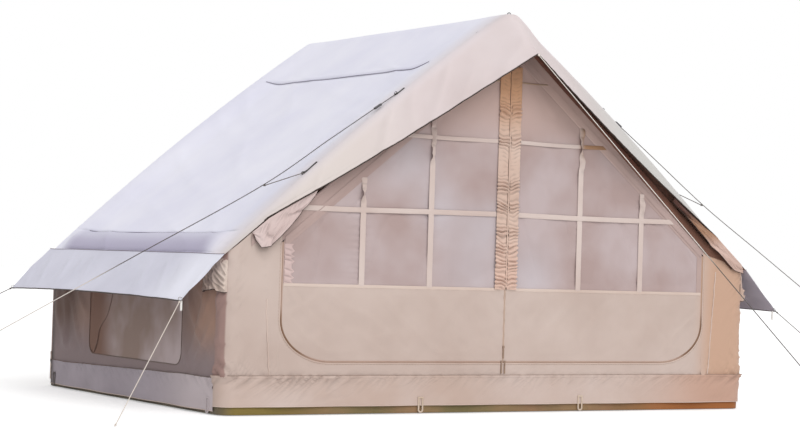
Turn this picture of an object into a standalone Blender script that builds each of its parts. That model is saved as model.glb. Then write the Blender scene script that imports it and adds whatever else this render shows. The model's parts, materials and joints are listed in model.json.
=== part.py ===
"""Inflatable ridge tent: air beams, fly with canopy and awnings, walls, doors, window flaps and guy ropes.

Metres, +Z up. The origin is the middle of the groundsheet's underside. +X runs to the right along the front
wall and +Y runs from the front wall to the rear wall. The left half mirrors the right half.
"""

import math

import bmesh
import bpy
from mathutils import Matrix, Vector

# Overall sizes, outside the walls
WIDTH = 3.0
DEPTH = 2.04
EAVE_HEIGHT = 0.715
RIDGE_HEIGHT = 1.91

# Fabric, and the gap that is left between pieces that touch
CLOTH = 0.003
MESH_CLOTH = 0.0015
SEAT = 0.0003
OVERRUN = 0.1

# Air beams
ARCH_RADIUS = 0.06
RIDGE_BEAM_RADIUS = 0.055
EAVE_BEAM_RADIUS = 0.05
EAVE_BEND = 0.12
RIDGE_BEND = 0.05
RAFTER_BOW = 0.035
BOW_REACH = 0.3
BOW_FULLNESS = 0.8

# Roof
ROOF_SAG = 0.02
RIDGE_CREASE = 0.34
EAVE_CREASE = 0.12
CREASE_END = 0.3
REAR_LAP = 0.035

# Canopy over the door
TIP_REACH = 0.218
TIP_HEIGHT = 1.702
HEM_END = 1.29
HEM_SAG = 0.02
PEAK_FORWARD = 0.04
PEAK_HALF_WIDTH = 0.2
CREST_FLAT = 0.006

# Side awnings
AWNING_REACH = 0.21
AWNING_DROP = 0.21
AWNING_SAG = 0.012

# Groundsheet tub, walls and skirts
TUB_HEIGHT = 0.1
WALL_FOOT = 0.06
SKIRT_FOOT = 0.038
SKIRT_TOP = 0.177
SKIRT_FLARE = 0.006

# Doorway and door leaves
DOOR_HALF = 1.21
DOOR_FOOT = 0.239
DOOR_CORNER_ACROSS = 0.26
DOOR_CORNER_UP = 0.19
DOOR_PEAK_HALF = 0.03
HINGE_GAP = 0.002
SILL = 0.59
BORDER = 0.03
ZIP_WIDTH = 0.01
ZIP_THICK = 0.002

# Straps on the door mesh
STRAP_THICK = 0.002
UPRIGHT_WIDTH = 0.038
RAIL_WIDTH = 0.024
OUTER_UPRIGHT = 0.81
INNER_UPRIGHT = 0.43
LOWER_RAIL = 0.945
UPPER_RAIL = 1.295
STRAP_MARGIN = 0.012

# Gathered strips beside the centre zip
GATHER_WIDTH = 0.058
GATHER_TOP = 1.62
GATHER_DEPTH = 0.009
GATHER_COUNT = 20

# Zip sliders
SLIDER_WIDTH = 0.0096
SLIDER_HEIGHT = 0.014
SLIDER_THICK = 0.005
PULL_WIDTH = 0.006
PULL_LENGTH = 0.045
PULL_NECK = 0.003

# Windows: half length, foot and height of the opening, and its middle along the wall
SIDE_WINDOW_HALF = 0.535
SIDE_WINDOW_MIDDLE = -0.07
SIDE_WINDOW_FOOT = 0.2
SIDE_WINDOW_HEIGHT = 0.39
REAR_WINDOW_HALF = 0.6
REAR_WINDOW_FOOT = 0.72
REAR_WINDOW_HEIGHT = 0.5
WINDOW_CORNER = 0.06
FLAP_LAP = 0.015

# Peg loops
LOOP_WIDTH = 0.03
LOOP_HEIGHT = 0.075
LOOP_THICK = 0.003
LOOP_WEB = 0.006
LOOP_LIFT = 0.002
FRONT_LOOP = 0.46
CORNER_LOOP_SET_BACK = 0.05

# Inflation valve on the rear right post
VALVE_HEIGHT = 0.3
VALVE_SET_IN = 0.034
VALVE_FLANGE_RADIUS = 0.028
VALVE_FLANGE_THICK = 0.005
VALVE_STEM_RADIUS = 0.02
VALVE_BORE_RADIUS = 0.012
CAP_RADIUS = 0.024
CAP_THICK = 0.008
CAP_LUG = 0.006
CAP_LUG_WIDTH = 0.012
CAP_LUG_THICK = 0.003

# Guy ropes and their runners
ROPE_RADIUS = 0.002
RUNNER_LENGTH = 0.045
RUNNER_WIDTH = 0.016
RUNNER_THICK = 0.008
RUNNER_BORE = 0.0026
RUNNER_PLACE = 0.13

# Facets
ARCH_SIDES_STEP = 5
ROUND_STEPS = 32
ARC_STEPS = 5
CORNER_STEPS = 10
CROWN_STEPS = 4
RAFTER_SHARES = (1.0, 0.86, 0.72, 0.58, 0.44, 0.3, 0.15, 0.0)
ROOF_COLUMN_SHARES = (0.06, 0.12, 0.227, 0.32, 0.42, 0.52, 0.62, 0.72, 0.82, 0.92, 0.96, 1.0)
ROOF_ROW_SHARES = (-1.0, -0.86, -0.75, -0.63, -0.4, -0.15, 0.15, 0.4, 0.63, 0.75, 0.86, 1.0)
CANOPY_COLUMN_SHARES = (0.06, 0.14, 0.24, 0.34, 0.44, 0.54, 0.64, 0.74, 0.82, 0.86, 0.92, 1.0)
SKIRT_LEVEL_SHARES = (0, 0.35, 0.7, 1)
GATHER_ACROSS_SHARES = (0, 0.25, 0.75, 1)
GATHER_EDGE_SHARE = 0.35
CAP_RIM_SHARE = 0.7
CAP_FACE_SHARE = 0.8

# Derived sizes
HALF = WIDTH / 2
HALF_DEPTH = DEPTH / 2
SKIN = CLOTH + SEAT
INSET = 2 * SKIN + ARCH_RADIUS
POST_X = HALF - INSET
ARCH_Y = HALF_DEPTH - INSET
RIDGE_ROUND = RIDGE_BEAM_RADIUS + SKIN
RISE = RIDGE_HEIGHT - EAVE_HEIGHT
APEX = RIDGE_HEIGHT + RIDGE_ROUND * (math.hypot(RISE, HALF) / HALF - 1)
SLOPE = math.atan2(APEX - EAVE_HEIGHT, HALF)
COS = math.cos(SLOPE)
SIN = math.sin(SLOPE)
FRONT_FACE = -HALF_DEPTH
DOOR_TOP_INSET = 2 * ARCH_RADIUS + 3 * SKIN
SKIRT_STATION = FRONT_LOOP / 6


def clear_scene():
    for thing in list(bpy.data.objects):
        bpy.data.objects.remove(thing, do_unlink=True)


def srgb(hex_colour):
    """Turns a hex colour into the linear numbers that a material takes."""
    channels = [int(hex_colour[i : i + 2], 16) / 255 for i in (0, 2, 4)]
    linear = [c / 12.92 if c <= 0.04045 else ((c + 0.055) / 1.055) ** 2.4 for c in channels]
    return (*linear, 1.0)


def material(name, hex_colour, roughness, metallic=0.0):
    made = bpy.data.materials.new(name)
    made.use_nodes = True
    shader = made.node_tree.nodes["Principled BSDF"]
    shader.inputs["Base Color"].default_value = srgb(hex_colour)
    shader.inputs["Roughness"].default_value = roughness
    shader.inputs["Metallic"].default_value = metallic
    made.diffuse_color = srgb(hex_colour)
    return made


def place(name, mesh, look, origin=(0, 0, 0)):
    """Makes an object of a mesh in world coordinates, with its origin where it is asked for."""
    mesh.transform(Matrix.Translation(-Vector(origin)))
    made = bpy.data.objects.new(name, mesh)
    made.location = origin
    bpy.context.scene.collection.objects.link(made)
    if look:
        mesh.materials.clear()
        mesh.materials.append(look)
    return made


def baked(thing):
    """Puts an object's evaluated mesh in place of its own, without its modifiers."""
    seen = thing.evaluated_get(bpy.context.evaluated_depsgraph_get())
    mesh = bpy.data.meshes.new_from_object(seen)
    thing.modifiers.clear()
    thing.data = mesh
    return thing


def boolean(thing, tool, operation):
    """Cuts, joins or crosses an object with a tool, and removes the tool."""
    cut = thing.modifiers.new("cut", "BOOLEAN")
    cut.operation = operation
    cut.object = tool
    tool.hide_render = True
    tool.display_type = "WIRE"
    baked(thing)
    bpy.data.objects.remove(tool, do_unlink=True)
    return thing


def smooth(thing, angle=math.radians(40)):
    thing.data.shade_smooth()
    thing.data.set_sharp_from_angle(angle=angle)
    return thing


def skin_of(name, rows, thickness, look, outward, origin=(0, 0, 0)):
    """A cloth panel: a grid of points thickened away from its outer face, which looks along outward."""
    grid = bmesh.new()
    corners = [[grid.verts.new(point) for point in row] for row in rows]
    for low, high in zip(corners, corners[1:]):
        for a, b, c, d in zip(low, low[1:], high[1:], high):
            grid.faces.new((a, b, c, d))
    grid.normal_update()
    facing = sum((face.normal * face.calc_area() for face in grid.faces), Vector())
    if facing.dot(Vector(outward)) < 0:
        bmesh.ops.reverse_faces(grid, faces=grid.faces)
    mesh = bpy.data.meshes.new(name)
    grid.to_mesh(mesh)
    grid.free()
    made = place(name, mesh, look, origin)
    thick = made.modifiers.new("thickness", "SOLIDIFY")
    thick.thickness = thickness
    thick.offset = -1
    thick.use_even_offset = True
    return smooth(baked(made))


def plate(name, outline, across, low, high, look, origin=(0, 0, 0)):
    """A flat plate: an outline in the plane square to an axis, extruded along it from low to high."""
    lay = {
        "X": lambda u, v, w: (w, u, v),
        "Y": lambda u, v, w: (u, w, v),
        "Z": lambda u, v, w: (u, v, w),
    }[across]
    shape = bmesh.new()
    near = [shape.verts.new(lay(u, v, low)) for u, v in outline]
    face = shape.faces.new(near)
    grown = bmesh.ops.extrude_face_region(shape, geom=[face])
    travel = Vector(lay(0, 0, high)) - Vector(lay(0, 0, low))
    moved = [item for item in grown["geom"] if isinstance(item, bmesh.types.BMVert)]
    bmesh.ops.translate(shape, verts=moved, vec=travel)
    bmesh.ops.recalc_face_normals(shape, faces=shape.faces)
    mesh = bpy.data.meshes.new(name)
    shape.to_mesh(mesh)
    shape.free()
    return place(name, mesh, look, origin)


def tube(name, points, radius, sides_step, look):
    """A round tube along points, with filled ends. It has 4 + 2 * sides_step sides."""
    line = bpy.data.curves.new(name, "CURVE")
    line.dimensions = "3D"
    line.bevel_depth = radius
    line.bevel_resolution = sides_step
    line.use_fill_caps = True
    run = line.splines.new("POLY")
    run.points.add(len(points) - 1)
    for node, point in zip(run.points, points):
        node.co = (*point, 1)
    line.materials.append(look)
    made = bpy.data.objects.new(name, line)
    bpy.context.scene.collection.objects.link(made)
    return made


def meshed(thing):
    """Turns a tube into a mesh object of the same name, with its end caps welded on."""
    seen = thing.evaluated_get(bpy.context.evaluated_depsgraph_get())
    mesh = bpy.data.meshes.new_from_object(seen)
    weld = bmesh.new()
    weld.from_mesh(mesh)
    bmesh.ops.remove_doubles(weld, verts=weld.verts, dist=SEAT / 10)
    bmesh.ops.recalc_face_normals(weld, faces=weld.faces)
    weld.to_mesh(mesh)
    weld.free()
    name = thing.name
    look = thing.data.materials[0]
    bpy.data.objects.remove(thing, do_unlink=True)
    return smooth(place(name, mesh, look))


def turned(name, profile, centre, steps, look, origin=(0, 0, 0)):
    """A turned solid about +Y through centre: profile is (radius, distance along Y), from end to end."""
    shape = bmesh.new()
    rings = []
    for radius, along in profile:
        turn = [2 * math.pi * i / steps for i in range(steps)]
        ring = [
            shape.verts.new((centre[0] + radius * math.cos(a), centre[1] + along, centre[2] + radius * math.sin(a)))
            for a in turn
        ]
        rings.append(ring)
    for low, high in zip(rings, rings[1:]):
        for i in range(steps):
            j = (i + 1) % steps
            shape.faces.new((low[i], low[j], high[j], high[i]))
    shape.faces.new(rings[0])
    shape.faces.new(rings[-1])
    bmesh.ops.recalc_face_normals(shape, faces=shape.faces)
    mesh = bpy.data.meshes.new(name)
    shape.to_mesh(mesh)
    shape.free()
    return place(name, mesh, look, origin)


def arc(centre, radius, start, end, steps):
    """Points of an arc in a plane, from the start angle to the end angle; radius may be a pair."""
    across, up = radius if isinstance(radius, tuple) else (radius, radius)
    angles = [start + (end - start) * i / steps for i in range(steps + 1)]
    return [(centre[0] + across * math.cos(a), centre[1] + up * math.sin(a)) for a in angles]


def bend(before, corner, after, steps):
    """Points of a smooth bend that leaves one point for another and is drawn towards a corner."""
    points = []
    for i in range(steps + 1):
        t = i / steps
        points.append(before * (1 - t) ** 2 + corner * 2 * t * (1 - t) + after * t**2)
    return points


def ramp(value, low, high):
    """0 below low and 1 above high, with a smooth rise between them."""
    t = min(1.0, max(0.0, (value - low) / (high - low)))
    return t * t * (3 - 2 * t)


def roof_line(x, inward=0.0):
    """Height of the roof's straight slope over x, or of a line that lies inward of it."""
    return APEX - (APEX - EAVE_HEIGHT) * abs(x) / HALF - inward / COS


def roof_top(x):
    """Height of the fly over x, with the round that the ridge beam gives it."""
    if abs(x) < RIDGE_ROUND * SIN:
        centre = roof_line(0, RIDGE_ROUND)
        return centre + math.sqrt(RIDGE_ROUND**2 - x * x)
    return roof_line(x)


def bow(x):
    """How far the inflated rafters bow out of the straight slope at x."""
    return RAFTER_BOW * math.sin(math.pi * min(1.0, abs(x) / HALF)) ** BOW_FULLNESS


def crest(x):
    """The fly's line over an arch: the straight slope with the rafter's bow."""
    return Vector((x, roof_line(x) + bow(x) / COS))


def under_crest(x, depth):
    """A point at a depth under the arch's crest line at x, and the way the line runs there."""
    step = HALF / ROUND_STEPS / ROUND_STEPS
    along = (crest(x - step) - crest(x + step)).normalized()
    return crest(x) - Vector((along.y, -along.x)) * depth, along


def half_arch():
    """Centre line of an arch's right half in the plane of X and Z, from its foot to the ridge."""
    depth = ARCH_RADIUS + SKIN + SEAT
    eave_x = HALF - EAVE_BEND * COS
    ridge_x = RIDGE_BEND * COS + depth * SIN
    rafter = [under_crest(ridge_x + (eave_x - ridge_x) * share, depth) for share in RAFTER_SHARES]
    foot = Vector((POST_X, CLOTH + SEAT))
    low, low_way = rafter[0]
    corner = low - low_way * ((POST_X - low.x) / -low_way.x)
    high, high_way = rafter[-1]
    peak = high + high_way * (high.x / -high_way.x)
    mirrored = Vector((-high.x, high.y))
    eave = bend(corner - Vector((0, EAVE_BEND)), corner, low, ARC_STEPS)
    crown = bend(high, peak, mirrored, CROWN_STEPS)[: CROWN_STEPS // 2 + 1]
    return [foot] + eave + [point for point, _ in rafter[1:-1]] + crown


def arch_path(y):
    right = half_arch()
    left = [Vector((-p.x, p.y)) for p in reversed(right[:-1])]
    return [(p.x, y, p.y) for p in right + left]


def make_air_frame(look):
    for name, y in (("front_air_arch", -ARCH_Y), ("rear_air_arch", ARCH_Y)):
        meshed(tube(name, arch_path(y), ARCH_RADIUS, ARCH_SIDES_STEP, look))
    eave_x = HALF - 2 * SKIN - EAVE_BEAM_RADIUS
    eave_z = roof_line(eave_x, EAVE_BEAM_RADIUS + SKIN)
    ridge_z = roof_line(0, RIDGE_ROUND)
    beams = (
        ("ridge_air_beam", 0, ridge_z, RIDGE_BEAM_RADIUS),
        ("left_eave_air_beam", -eave_x, eave_z, EAVE_BEAM_RADIUS),
        ("right_eave_air_beam", eave_x, eave_z, EAVE_BEAM_RADIUS),
    )
    for name, x, z, radius in beams:
        ends = [(x, side * ARCH_Y, z) for side in (-1, 1)]
        beam = meshed(tube(name, ends, radius, ARCH_SIDES_STEP, look))
        for y in (-ARCH_Y, ARCH_Y):
            saddle = meshed(tube("saddle", arch_path(y), ARCH_RADIUS + SEAT, ARCH_SIDES_STEP, look))
            boolean(beam, saddle, "DIFFERENCE")
        smooth(beam)


def roof_lift(x, y):
    """How far the fly stands out of its straight slope at a point: up over the arches, slack between them."""
    held = ramp(abs(y), ARCH_Y - BOW_REACH, ARCH_Y - CREST_FLAT)
    lift = bow(x) * held
    span = HALF - EAVE_CREASE - RIDGE_CREASE
    slack = (abs(x) - RIDGE_CREASE) / span
    if 0 < slack < 1:
        loose = 1 - ramp(abs(y), ARCH_Y - BOW_REACH - CREASE_END, ARCH_Y - BOW_REACH / 2)
        lift -= ROOF_SAG * math.sin(math.pi * slack) * loose
    return lift


def roof_columns(shares):
    """The panel's lines of x from the ridge to the eave: the ridge round first, then shares of the half width."""
    turns = [SLOPE * i / ARC_STEPS for i in range(1, ARC_STEPS + 1)]
    return [SEAT / 2] + [RIDGE_ROUND * math.sin(turn) for turn in turns] + [share * HALF for share in shares]


def trim_at_ridge(panel, side):
    """Keeps a panel's inner edge on its own side of the ridge, where it meets its mirrored twin."""
    for vertex in panel.data.vertices:
        vertex.co.x = side * max(SEAT / 2, side * vertex.co.x)


def rear_wrap(x):
    """The fly over x behind the crest of the rear arch: round the beam, then down over the rear wall's top."""
    down, back = ARCH_RADIUS + SKIN, INSET + SKIN
    points = []
    for i in range(1, ARC_STEPS):
        turn = math.pi / 2 * i / (ARC_STEPS - 1)
        drop = down * (1 - math.cos(turn)) - bow(x)
        points.append((ARCH_Y + back * math.sin(turn), roof_top(x) - drop / COS))
    points.append((HALF_DEPTH + SKIN, roof_top(x) - (down + REAR_LAP) / COS))
    return points


def make_roof(look):
    columns = roof_columns(ROOF_COLUMN_SHARES)
    stations = [-ARCH_Y] + [(ARCH_Y - CREST_FLAT) * share for share in ROOF_ROW_SHARES] + [ARCH_Y]
    for name, side in (("left_roof", -1), ("right_roof", 1)):
        rows = []
        for y in stations:
            rows.append([(side * x, y, roof_top(x) + roof_lift(x, y) / COS) for x in columns])
        for row in zip(*(rear_wrap(x) for x in columns)):
            rows.append([(side * x, y, z) for x, (y, z) in zip(columns, row)])
        trim_at_ridge(skin_of(name, rows, CLOTH, look, (side * SIN, 0, COS)), side)


def hem(x):
    """The canopy's front hem over x: its place forward of the front wall, and its height."""
    share = min(1.0, x / HEM_END)
    forward = TIP_REACH * (1 - share)
    height = TIP_HEIGHT + (roof_line(HEM_END) - TIP_HEIGHT) * share - HEM_SAG * math.sin(math.pi * share)
    if x > HEM_END:
        height = roof_line(x)
    return -HALF_DEPTH - forward, height


def canopy_section(x):
    """The canopy over x, from the crest of the arch to the hem: an arc on the beam, then a straight drop."""
    peak = 1 - ramp(x, 0, PEAK_HALF_WIDTH)
    crest_y = -ARCH_Y - SEAT
    centre_y = crest_y - CREST_FLAT - PEAK_FORWARD * peak
    rho = ARCH_RADIUS + SKIN
    top = roof_top(x)
    centre_n = bow(x) - rho
    hem_y, hem_z = hem(x)
    out = centre_y - hem_y
    down = (hem_z - top) * COS - centre_n
    reach = math.hypot(out, down)
    lean = math.atan2(down, out) + math.acos(min(1.0, rho / reach))
    wrap = max(0.0, math.pi / 2 - lean)
    section = [(crest_y, top + bow(x) / COS)]
    for i in range(ARC_STEPS):
        turn = wrap * i / (ARC_STEPS - 1)
        y = centre_y - rho * math.sin(turn)
        section.append((y, top + (centre_n + rho * math.cos(turn)) / COS))
    last_y, last_z = section[-1]
    section.append(((last_y + hem_y) / 2, (last_z + hem_z) / 2))
    section.append((hem_y, hem_z))
    return section


def make_canopy(look):
    columns = roof_columns(CANOPY_COLUMN_SHARES)
    for name, side in (("left_canopy", -1), ("right_canopy", 1)):
        rows = [[(side * x, y, z) for y, z in canopy_section(x)] for x in columns]
        trim_at_ridge(skin_of(name, rows, CLOTH, look, (side * SIN, -SIN, COS)), side)


def make_awnings(look):
    root = HALF + SEAT + CLOTH * AWNING_DROP / math.hypot(AWNING_REACH, AWNING_DROP)
    edge = HALF + SEAT + AWNING_REACH
    for name, side in (("left_awning", -1), ("right_awning", 1)):
        rows = []
        for i in range(ARC_STEPS):
            t = i / (ARC_STEPS - 1)
            row = []
            for j in range(2 * ARC_STEPS + 1):
                u = j / ARC_STEPS - 1
                droop = AWNING_SAG * (1 - u * u) * math.sin(math.pi / 2 * t)
                x = root + (edge - root) * t
                row.append((side * x, HALF_DEPTH * u, EAVE_HEIGHT - AWNING_DROP * t + droop))
            rows.append(row)
        skin_of(name, rows, CLOTH, look, (side * SIN, 0, COS))


def wall_plan(set_in):
    """The front wall's line seen from above, set in from the tent's outside, round a post at each end."""
    centre = (-POST_X, -ARCH_Y)
    corner = arc(centre, INSET - set_in, math.pi, 1.5 * math.pi, CORNER_STEPS)
    return corner + [(-x, y) for x, y in reversed(corner)]


def tub_outline(set_in):
    """The groundsheet's line seen from above, all the way round."""
    front = wall_plan(set_in)
    return front + [(x, -y) for x, y in reversed(front)]


def make_groundsheet(look):
    tub = plate("groundsheet", tub_outline(SKIN), "Z", 0, TUB_HEIGHT, look)
    hollow = plate("hollow", tub_outline(SKIN + CLOTH), "Z", CLOTH, TUB_HEIGHT + OVERRUN, look)
    boolean(tub, hollow, "DIFFERENCE")


def gable_outline(level, eave_inset):
    """An end wall's top edge: one inset from the fly along the slope, and another at the eaves."""
    run_out = HALF + OVERRUN
    right = [
        (run_out, 0),
        (run_out, roof_line(HALF, eave_inset)),
        (HALF, roof_line(HALF, eave_inset)),
        (HEM_END + EAVE_CREASE / 2, roof_line(HEM_END + EAVE_CREASE / 2, eave_inset)),
        (HEM_END - EAVE_CREASE / 2, roof_line(HEM_END - EAVE_CREASE / 2, level)),
        (0, roof_line(0, level)),
    ]
    return right + [(-x, z) for x, z in reversed(right[:-1])]


def door_edge(grow, slope_grow):
    """Right half of the doorway's edge, from the middle of its foot to its peak, grown outwards by grow."""
    foot = DOOR_FOOT - grow
    side = DOOR_HALF + grow
    inward = DOOR_TOP_INSET - slope_grow
    corner = (DOOR_HALF - DOOR_CORNER_ACROSS, DOOR_FOOT + DOOR_CORNER_UP)
    radii = (DOOR_CORNER_ACROSS + grow, DOOR_CORNER_UP + grow)
    points = [(0, foot)] + arc(corner, radii, -math.pi / 2, 0, 2 * ARC_STEPS)
    points.append((side, roof_line(side, inward)))
    points.append((DOOR_PEAK_HALF, roof_line(DOOR_PEAK_HALF, inward)))
    points.append((0, roof_line(DOOR_PEAK_HALF, inward)))
    return points


def end_wall(name, side, level, eave_inset, look):
    """The front wall (side -1) or the rear wall (side 1), without its openings."""
    plan = [(x, -side * y) for x, y in wall_plan(0)]
    rows = [[(x, y, z) for x, y in plan] for z in (WALL_FOOT, APEX)]
    wall = skin_of(name, rows, CLOTH, look, (0, side, 0))
    gable = plate("gable", gable_outline(level, eave_inset), "Y", -DEPTH, DEPTH, look)
    return boolean(wall, gable, "INTERSECT")


def window_outline(middle, half, foot, height, grow):
    """A window with round corners, grown outwards by grow."""
    across = half + grow - WINDOW_CORNER
    low = foot - grow + WINDOW_CORNER
    high = foot + height + grow - WINDOW_CORNER
    quarter = math.pi / 2
    corners = ((across, high, 0), (-across, high, 1), (-across, low, 2), (across, low, 3))
    points = []
    for u, v, turn in corners:
        points += arc((middle + u, v), WINDOW_CORNER, quarter * turn, quarter * (turn + 1), ARC_STEPS - 1)
    return points


def make_front_wall(look):
    wall = end_wall("front_wall", -1, ARCH_RADIUS + SKIN, SKIN + SEAT + CLOTH / 2, look)
    right = door_edge(ZIP_WIDTH / 2 + SEAT, HINGE_GAP)
    outline = right + [(-x, z) for x, z in reversed(right[1:-1])]
    doorway = plate("doorway", outline, "Y", -DEPTH, 0, look)
    boolean(wall, doorway, "DIFFERENCE")


def make_rear_wall(look):
    inset = ARCH_RADIUS + SKIN + REAR_LAP / 2
    wall = end_wall("rear_wall", 1, inset, inset, look)
    hole = window_outline(0, REAR_WINDOW_HALF, REAR_WINDOW_FOOT, REAR_WINDOW_HEIGHT, 0)
    boolean(wall, plate("window", hole, "Y", 0, DEPTH, look), "DIFFERENCE")
    port = arc((POST_X - VALVE_SET_IN, VALVE_HEIGHT), VALVE_STEM_RADIUS + SEAT, 0, 2 * math.pi, ROUND_STEPS)
    boolean(wall, plate("port", port[:-1], "Y", 0, DEPTH, look), "DIFFERENCE")


def make_side_walls(look):
    end = ARCH_Y - SEAT
    top = roof_line(HALF, SKIN)
    hole = (SIDE_WINDOW_MIDDLE, SIDE_WINDOW_HALF, SIDE_WINDOW_FOOT, SIDE_WINDOW_HEIGHT)
    for name, side in (("left_wall", -1), ("right_wall", 1)):
        outline = [(-end, WALL_FOOT), (end, WALL_FOOT), (end, top), (-end, top)]
        wall = plate(name, outline, "X", *sorted((side * HALF, side * (HALF - CLOTH))), look)
        window = plate("window", window_outline(*hole, 0), "X", -WIDTH * (side < 0), WIDTH * (side > 0), look)
        boolean(wall, window, "DIFFERENCE")


def skirt_flare(along, end):
    """How far a skirt's foot stands out of the wall's line at a place along it, in slow folds."""
    fold = 1 - math.cos(2 * math.pi * along / FRONT_LOOP)
    return SKIRT_FLARE * fold * ramp(end - abs(along), 0, FRONT_LOOP / 2)


def skirt_stations(end):
    """Places along a skirt where its folds are drawn, from one end to the other."""
    count = int((end - SEAT) / SKIRT_STATION)
    return [-end] + [i * SKIRT_STATION for i in range(-count, count + 1)] + [end]


def make_skirts(look):
    for name, side in (("front_skirt", -1), ("rear_skirt", 1)):
        rows = []
        for t in SKIRT_LEVEL_SHARES:
            z = SKIRT_FOOT + (SKIRT_TOP - SKIRT_FOOT) * t
            arcs = wall_plan(-SKIN)
            half_count = CORNER_STEPS + 1
            flat = [(x, arcs[half_count][1]) for x in skirt_stations(POST_X)[1:-1]]
            row = []
            for x, y in arcs[:half_count] + flat + arcs[half_count:]:
                row.append((x, -side * (y - skirt_flare(x, POST_X) * (1 - t)), z))
            rows.append(row)
        skin_of(name, rows, CLOTH, look, (0, side, 0))
    end = ARCH_Y - SEAT
    for name, side in (("left_skirt", -1), ("right_skirt", 1)):
        rows = []
        for t in SKIRT_LEVEL_SHARES:
            z = SKIRT_FOOT + (SKIRT_TOP - SKIRT_FOOT) * t
            out = [HALF + SKIN + skirt_flare(y, end) * (1 - t) for y in skirt_stations(end)]
            rows.append([(side * x, y, z) for x, y in zip(out, skirt_stations(end))])
        skin_of(name, rows, CLOTH, look, (side, 0, 0))


def hinge_line(side):
    """The seam that a door leaf turns on: its middle, in the middle of the cloth."""
    x = DOOR_HALF / 2
    return (side * x, FRONT_FACE + CLOTH / 2, roof_line(x, DOOR_TOP_INSET))


def leaf_outline(side, inset):
    """A door leaf's edge, or the edge of its mesh where inset is the border's width."""
    edge = door_edge(-ZIP_WIDTH / 2 - SEAT - inset, -inset)
    seam = ZIP_WIDTH / 2 + SEAT + inset
    foot = [(seam, edge[0][1])]
    slope = [point for point in edge[1:] if point[0] > seam]
    inward = DOOR_TOP_INSET + inset
    peak = [(seam, min(roof_line(seam, inward), roof_line(DOOR_PEAK_HALF, inward)))]
    return [(side * x, z) for x, z in foot + slope + peak]


def mesh_outline(side, inset):
    """The window in a leaf: the leaf's outline within its border, above the sill."""
    points = leaf_outline(side, inset)
    above = [point for point in points if point[1] > SILL]
    outer = max(abs(x) for x, _ in points)
    inner = min(abs(x) for x, _ in points)
    low = SILL + inset - BORDER
    return [(side * inner, low), (side * outer, low)] + above


def make_door_leaves(cloth, mesh_look):
    for word, side in (("left", -1), ("right", 1)):
        origin = hinge_line(side)
        face = FRONT_FACE
        panel = plate(f"{word}_door_panel", leaf_outline(side, 0), "Y", face, face + CLOTH, cloth, origin)
        window = plate("window", mesh_outline(side, BORDER), "Y", face - OVERRUN, face + OVERRUN, cloth)
        boolean(panel, window, "DIFFERENCE")
        middle = face + CLOTH / 2
        low, high = middle - MESH_CLOTH / 2, middle + MESH_CLOTH / 2
        plate(f"{word}_door_mesh", mesh_outline(side, BORDER + SEAT), "Y", low, high, mesh_look, origin)


def make_door_straps(look):
    """The flat straps on each leaf: two uprights crossed by two rails, sewn to the front of the mesh."""
    inward = DOOR_TOP_INSET + STRAP_MARGIN
    centre = ZIP_WIDTH / 2 + GATHER_WIDTH + 2 * SEAT

    def reach(z):
        """Where the leaf's sloping edge lies at a height."""
        slope_x = (APEX - inward / COS - z) / math.tan(SLOPE)
        return min(DOOR_HALF - STRAP_MARGIN, slope_x)

    uprights = []
    for x in (INNER_UPRIGHT, OUTER_UPRIGHT):
        outer = x + UPRIGHT_WIDTH / 2
        uprights.append((x - UPRIGHT_WIDTH / 2, outer, SILL, roof_line(outer, inward)))
    rails = []
    for z in (LOWER_RAIL, UPPER_RAIL):
        top = z + RAIL_WIDTH / 2
        rails.append((centre, reach(top), z - RAIL_WIDTH / 2, top))
    boxes = uprights + rails
    xs = sorted({edge for box in boxes for edge in box[:2]})
    zs = sorted({edge for box in boxes for edge in box[2:]})
    for word, side in (("left", -1), ("right", 1)):
        shape = bmesh.new()
        corners = {}
        y = FRONT_FACE - SEAT

        def corner(x, z):
            if (x, z) not in corners:
                corners[(x, z)] = shape.verts.new((side * x, y, z))
            return corners[(x, z)]

        for x0, x1 in zip(xs, xs[1:]):
            for z0, z1 in zip(zs, zs[1:]):
                x, z = (x0 + x1) / 2, (z0 + z1) / 2
                if any(a < x < b and c < z < d for a, b, c, d in boxes):
                    shape.faces.new((corner(x0, z0), corner(x1, z0), corner(x1, z1), corner(x0, z1)))
        grown = bmesh.ops.extrude_face_region(shape, geom=shape.faces[:])
        moved = [item for item in grown["geom"] if isinstance(item, bmesh.types.BMVert)]
        bmesh.ops.translate(shape, verts=moved, vec=(0, -STRAP_THICK, 0))
        bmesh.ops.recalc_face_normals(shape, faces=shape.faces)
        mesh = bpy.data.meshes.new(f"{word}_door_straps")
        shape.to_mesh(mesh)
        shape.free()
        place(f"{word}_door_straps", mesh, look, hinge_line(side))


def make_gathers(look):
    """The strips beside the centre zip, drawn up into even gathers."""
    inner = ZIP_WIDTH / 2 + SEAT
    steps = 4 * GATHER_COUNT
    for word, side in (("left", -1), ("right", 1)):
        rows = []
        for i in range(steps + 1):
            z = SILL + (GATHER_TOP - SILL) * i / steps
            swell = (1 - math.cos(2 * math.pi * GATHER_COUNT * i / steps)) / 2
            row = []
            for share in GATHER_ACROSS_SHARES:
                crown = math.sin(math.pi * share)
                rise = GATHER_EDGE_SHARE + (1 - GATHER_EDGE_SHARE) * crown
                y = FRONT_FACE - SKIN - GATHER_DEPTH * swell * rise
                row.append((side * (inner + GATHER_WIDTH * share), y, z))
            rows.append(row)
        skin_of(f"{word}_door_gathers", rows, CLOTH, look, (0, -1, 0), hinge_line(side))


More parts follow.
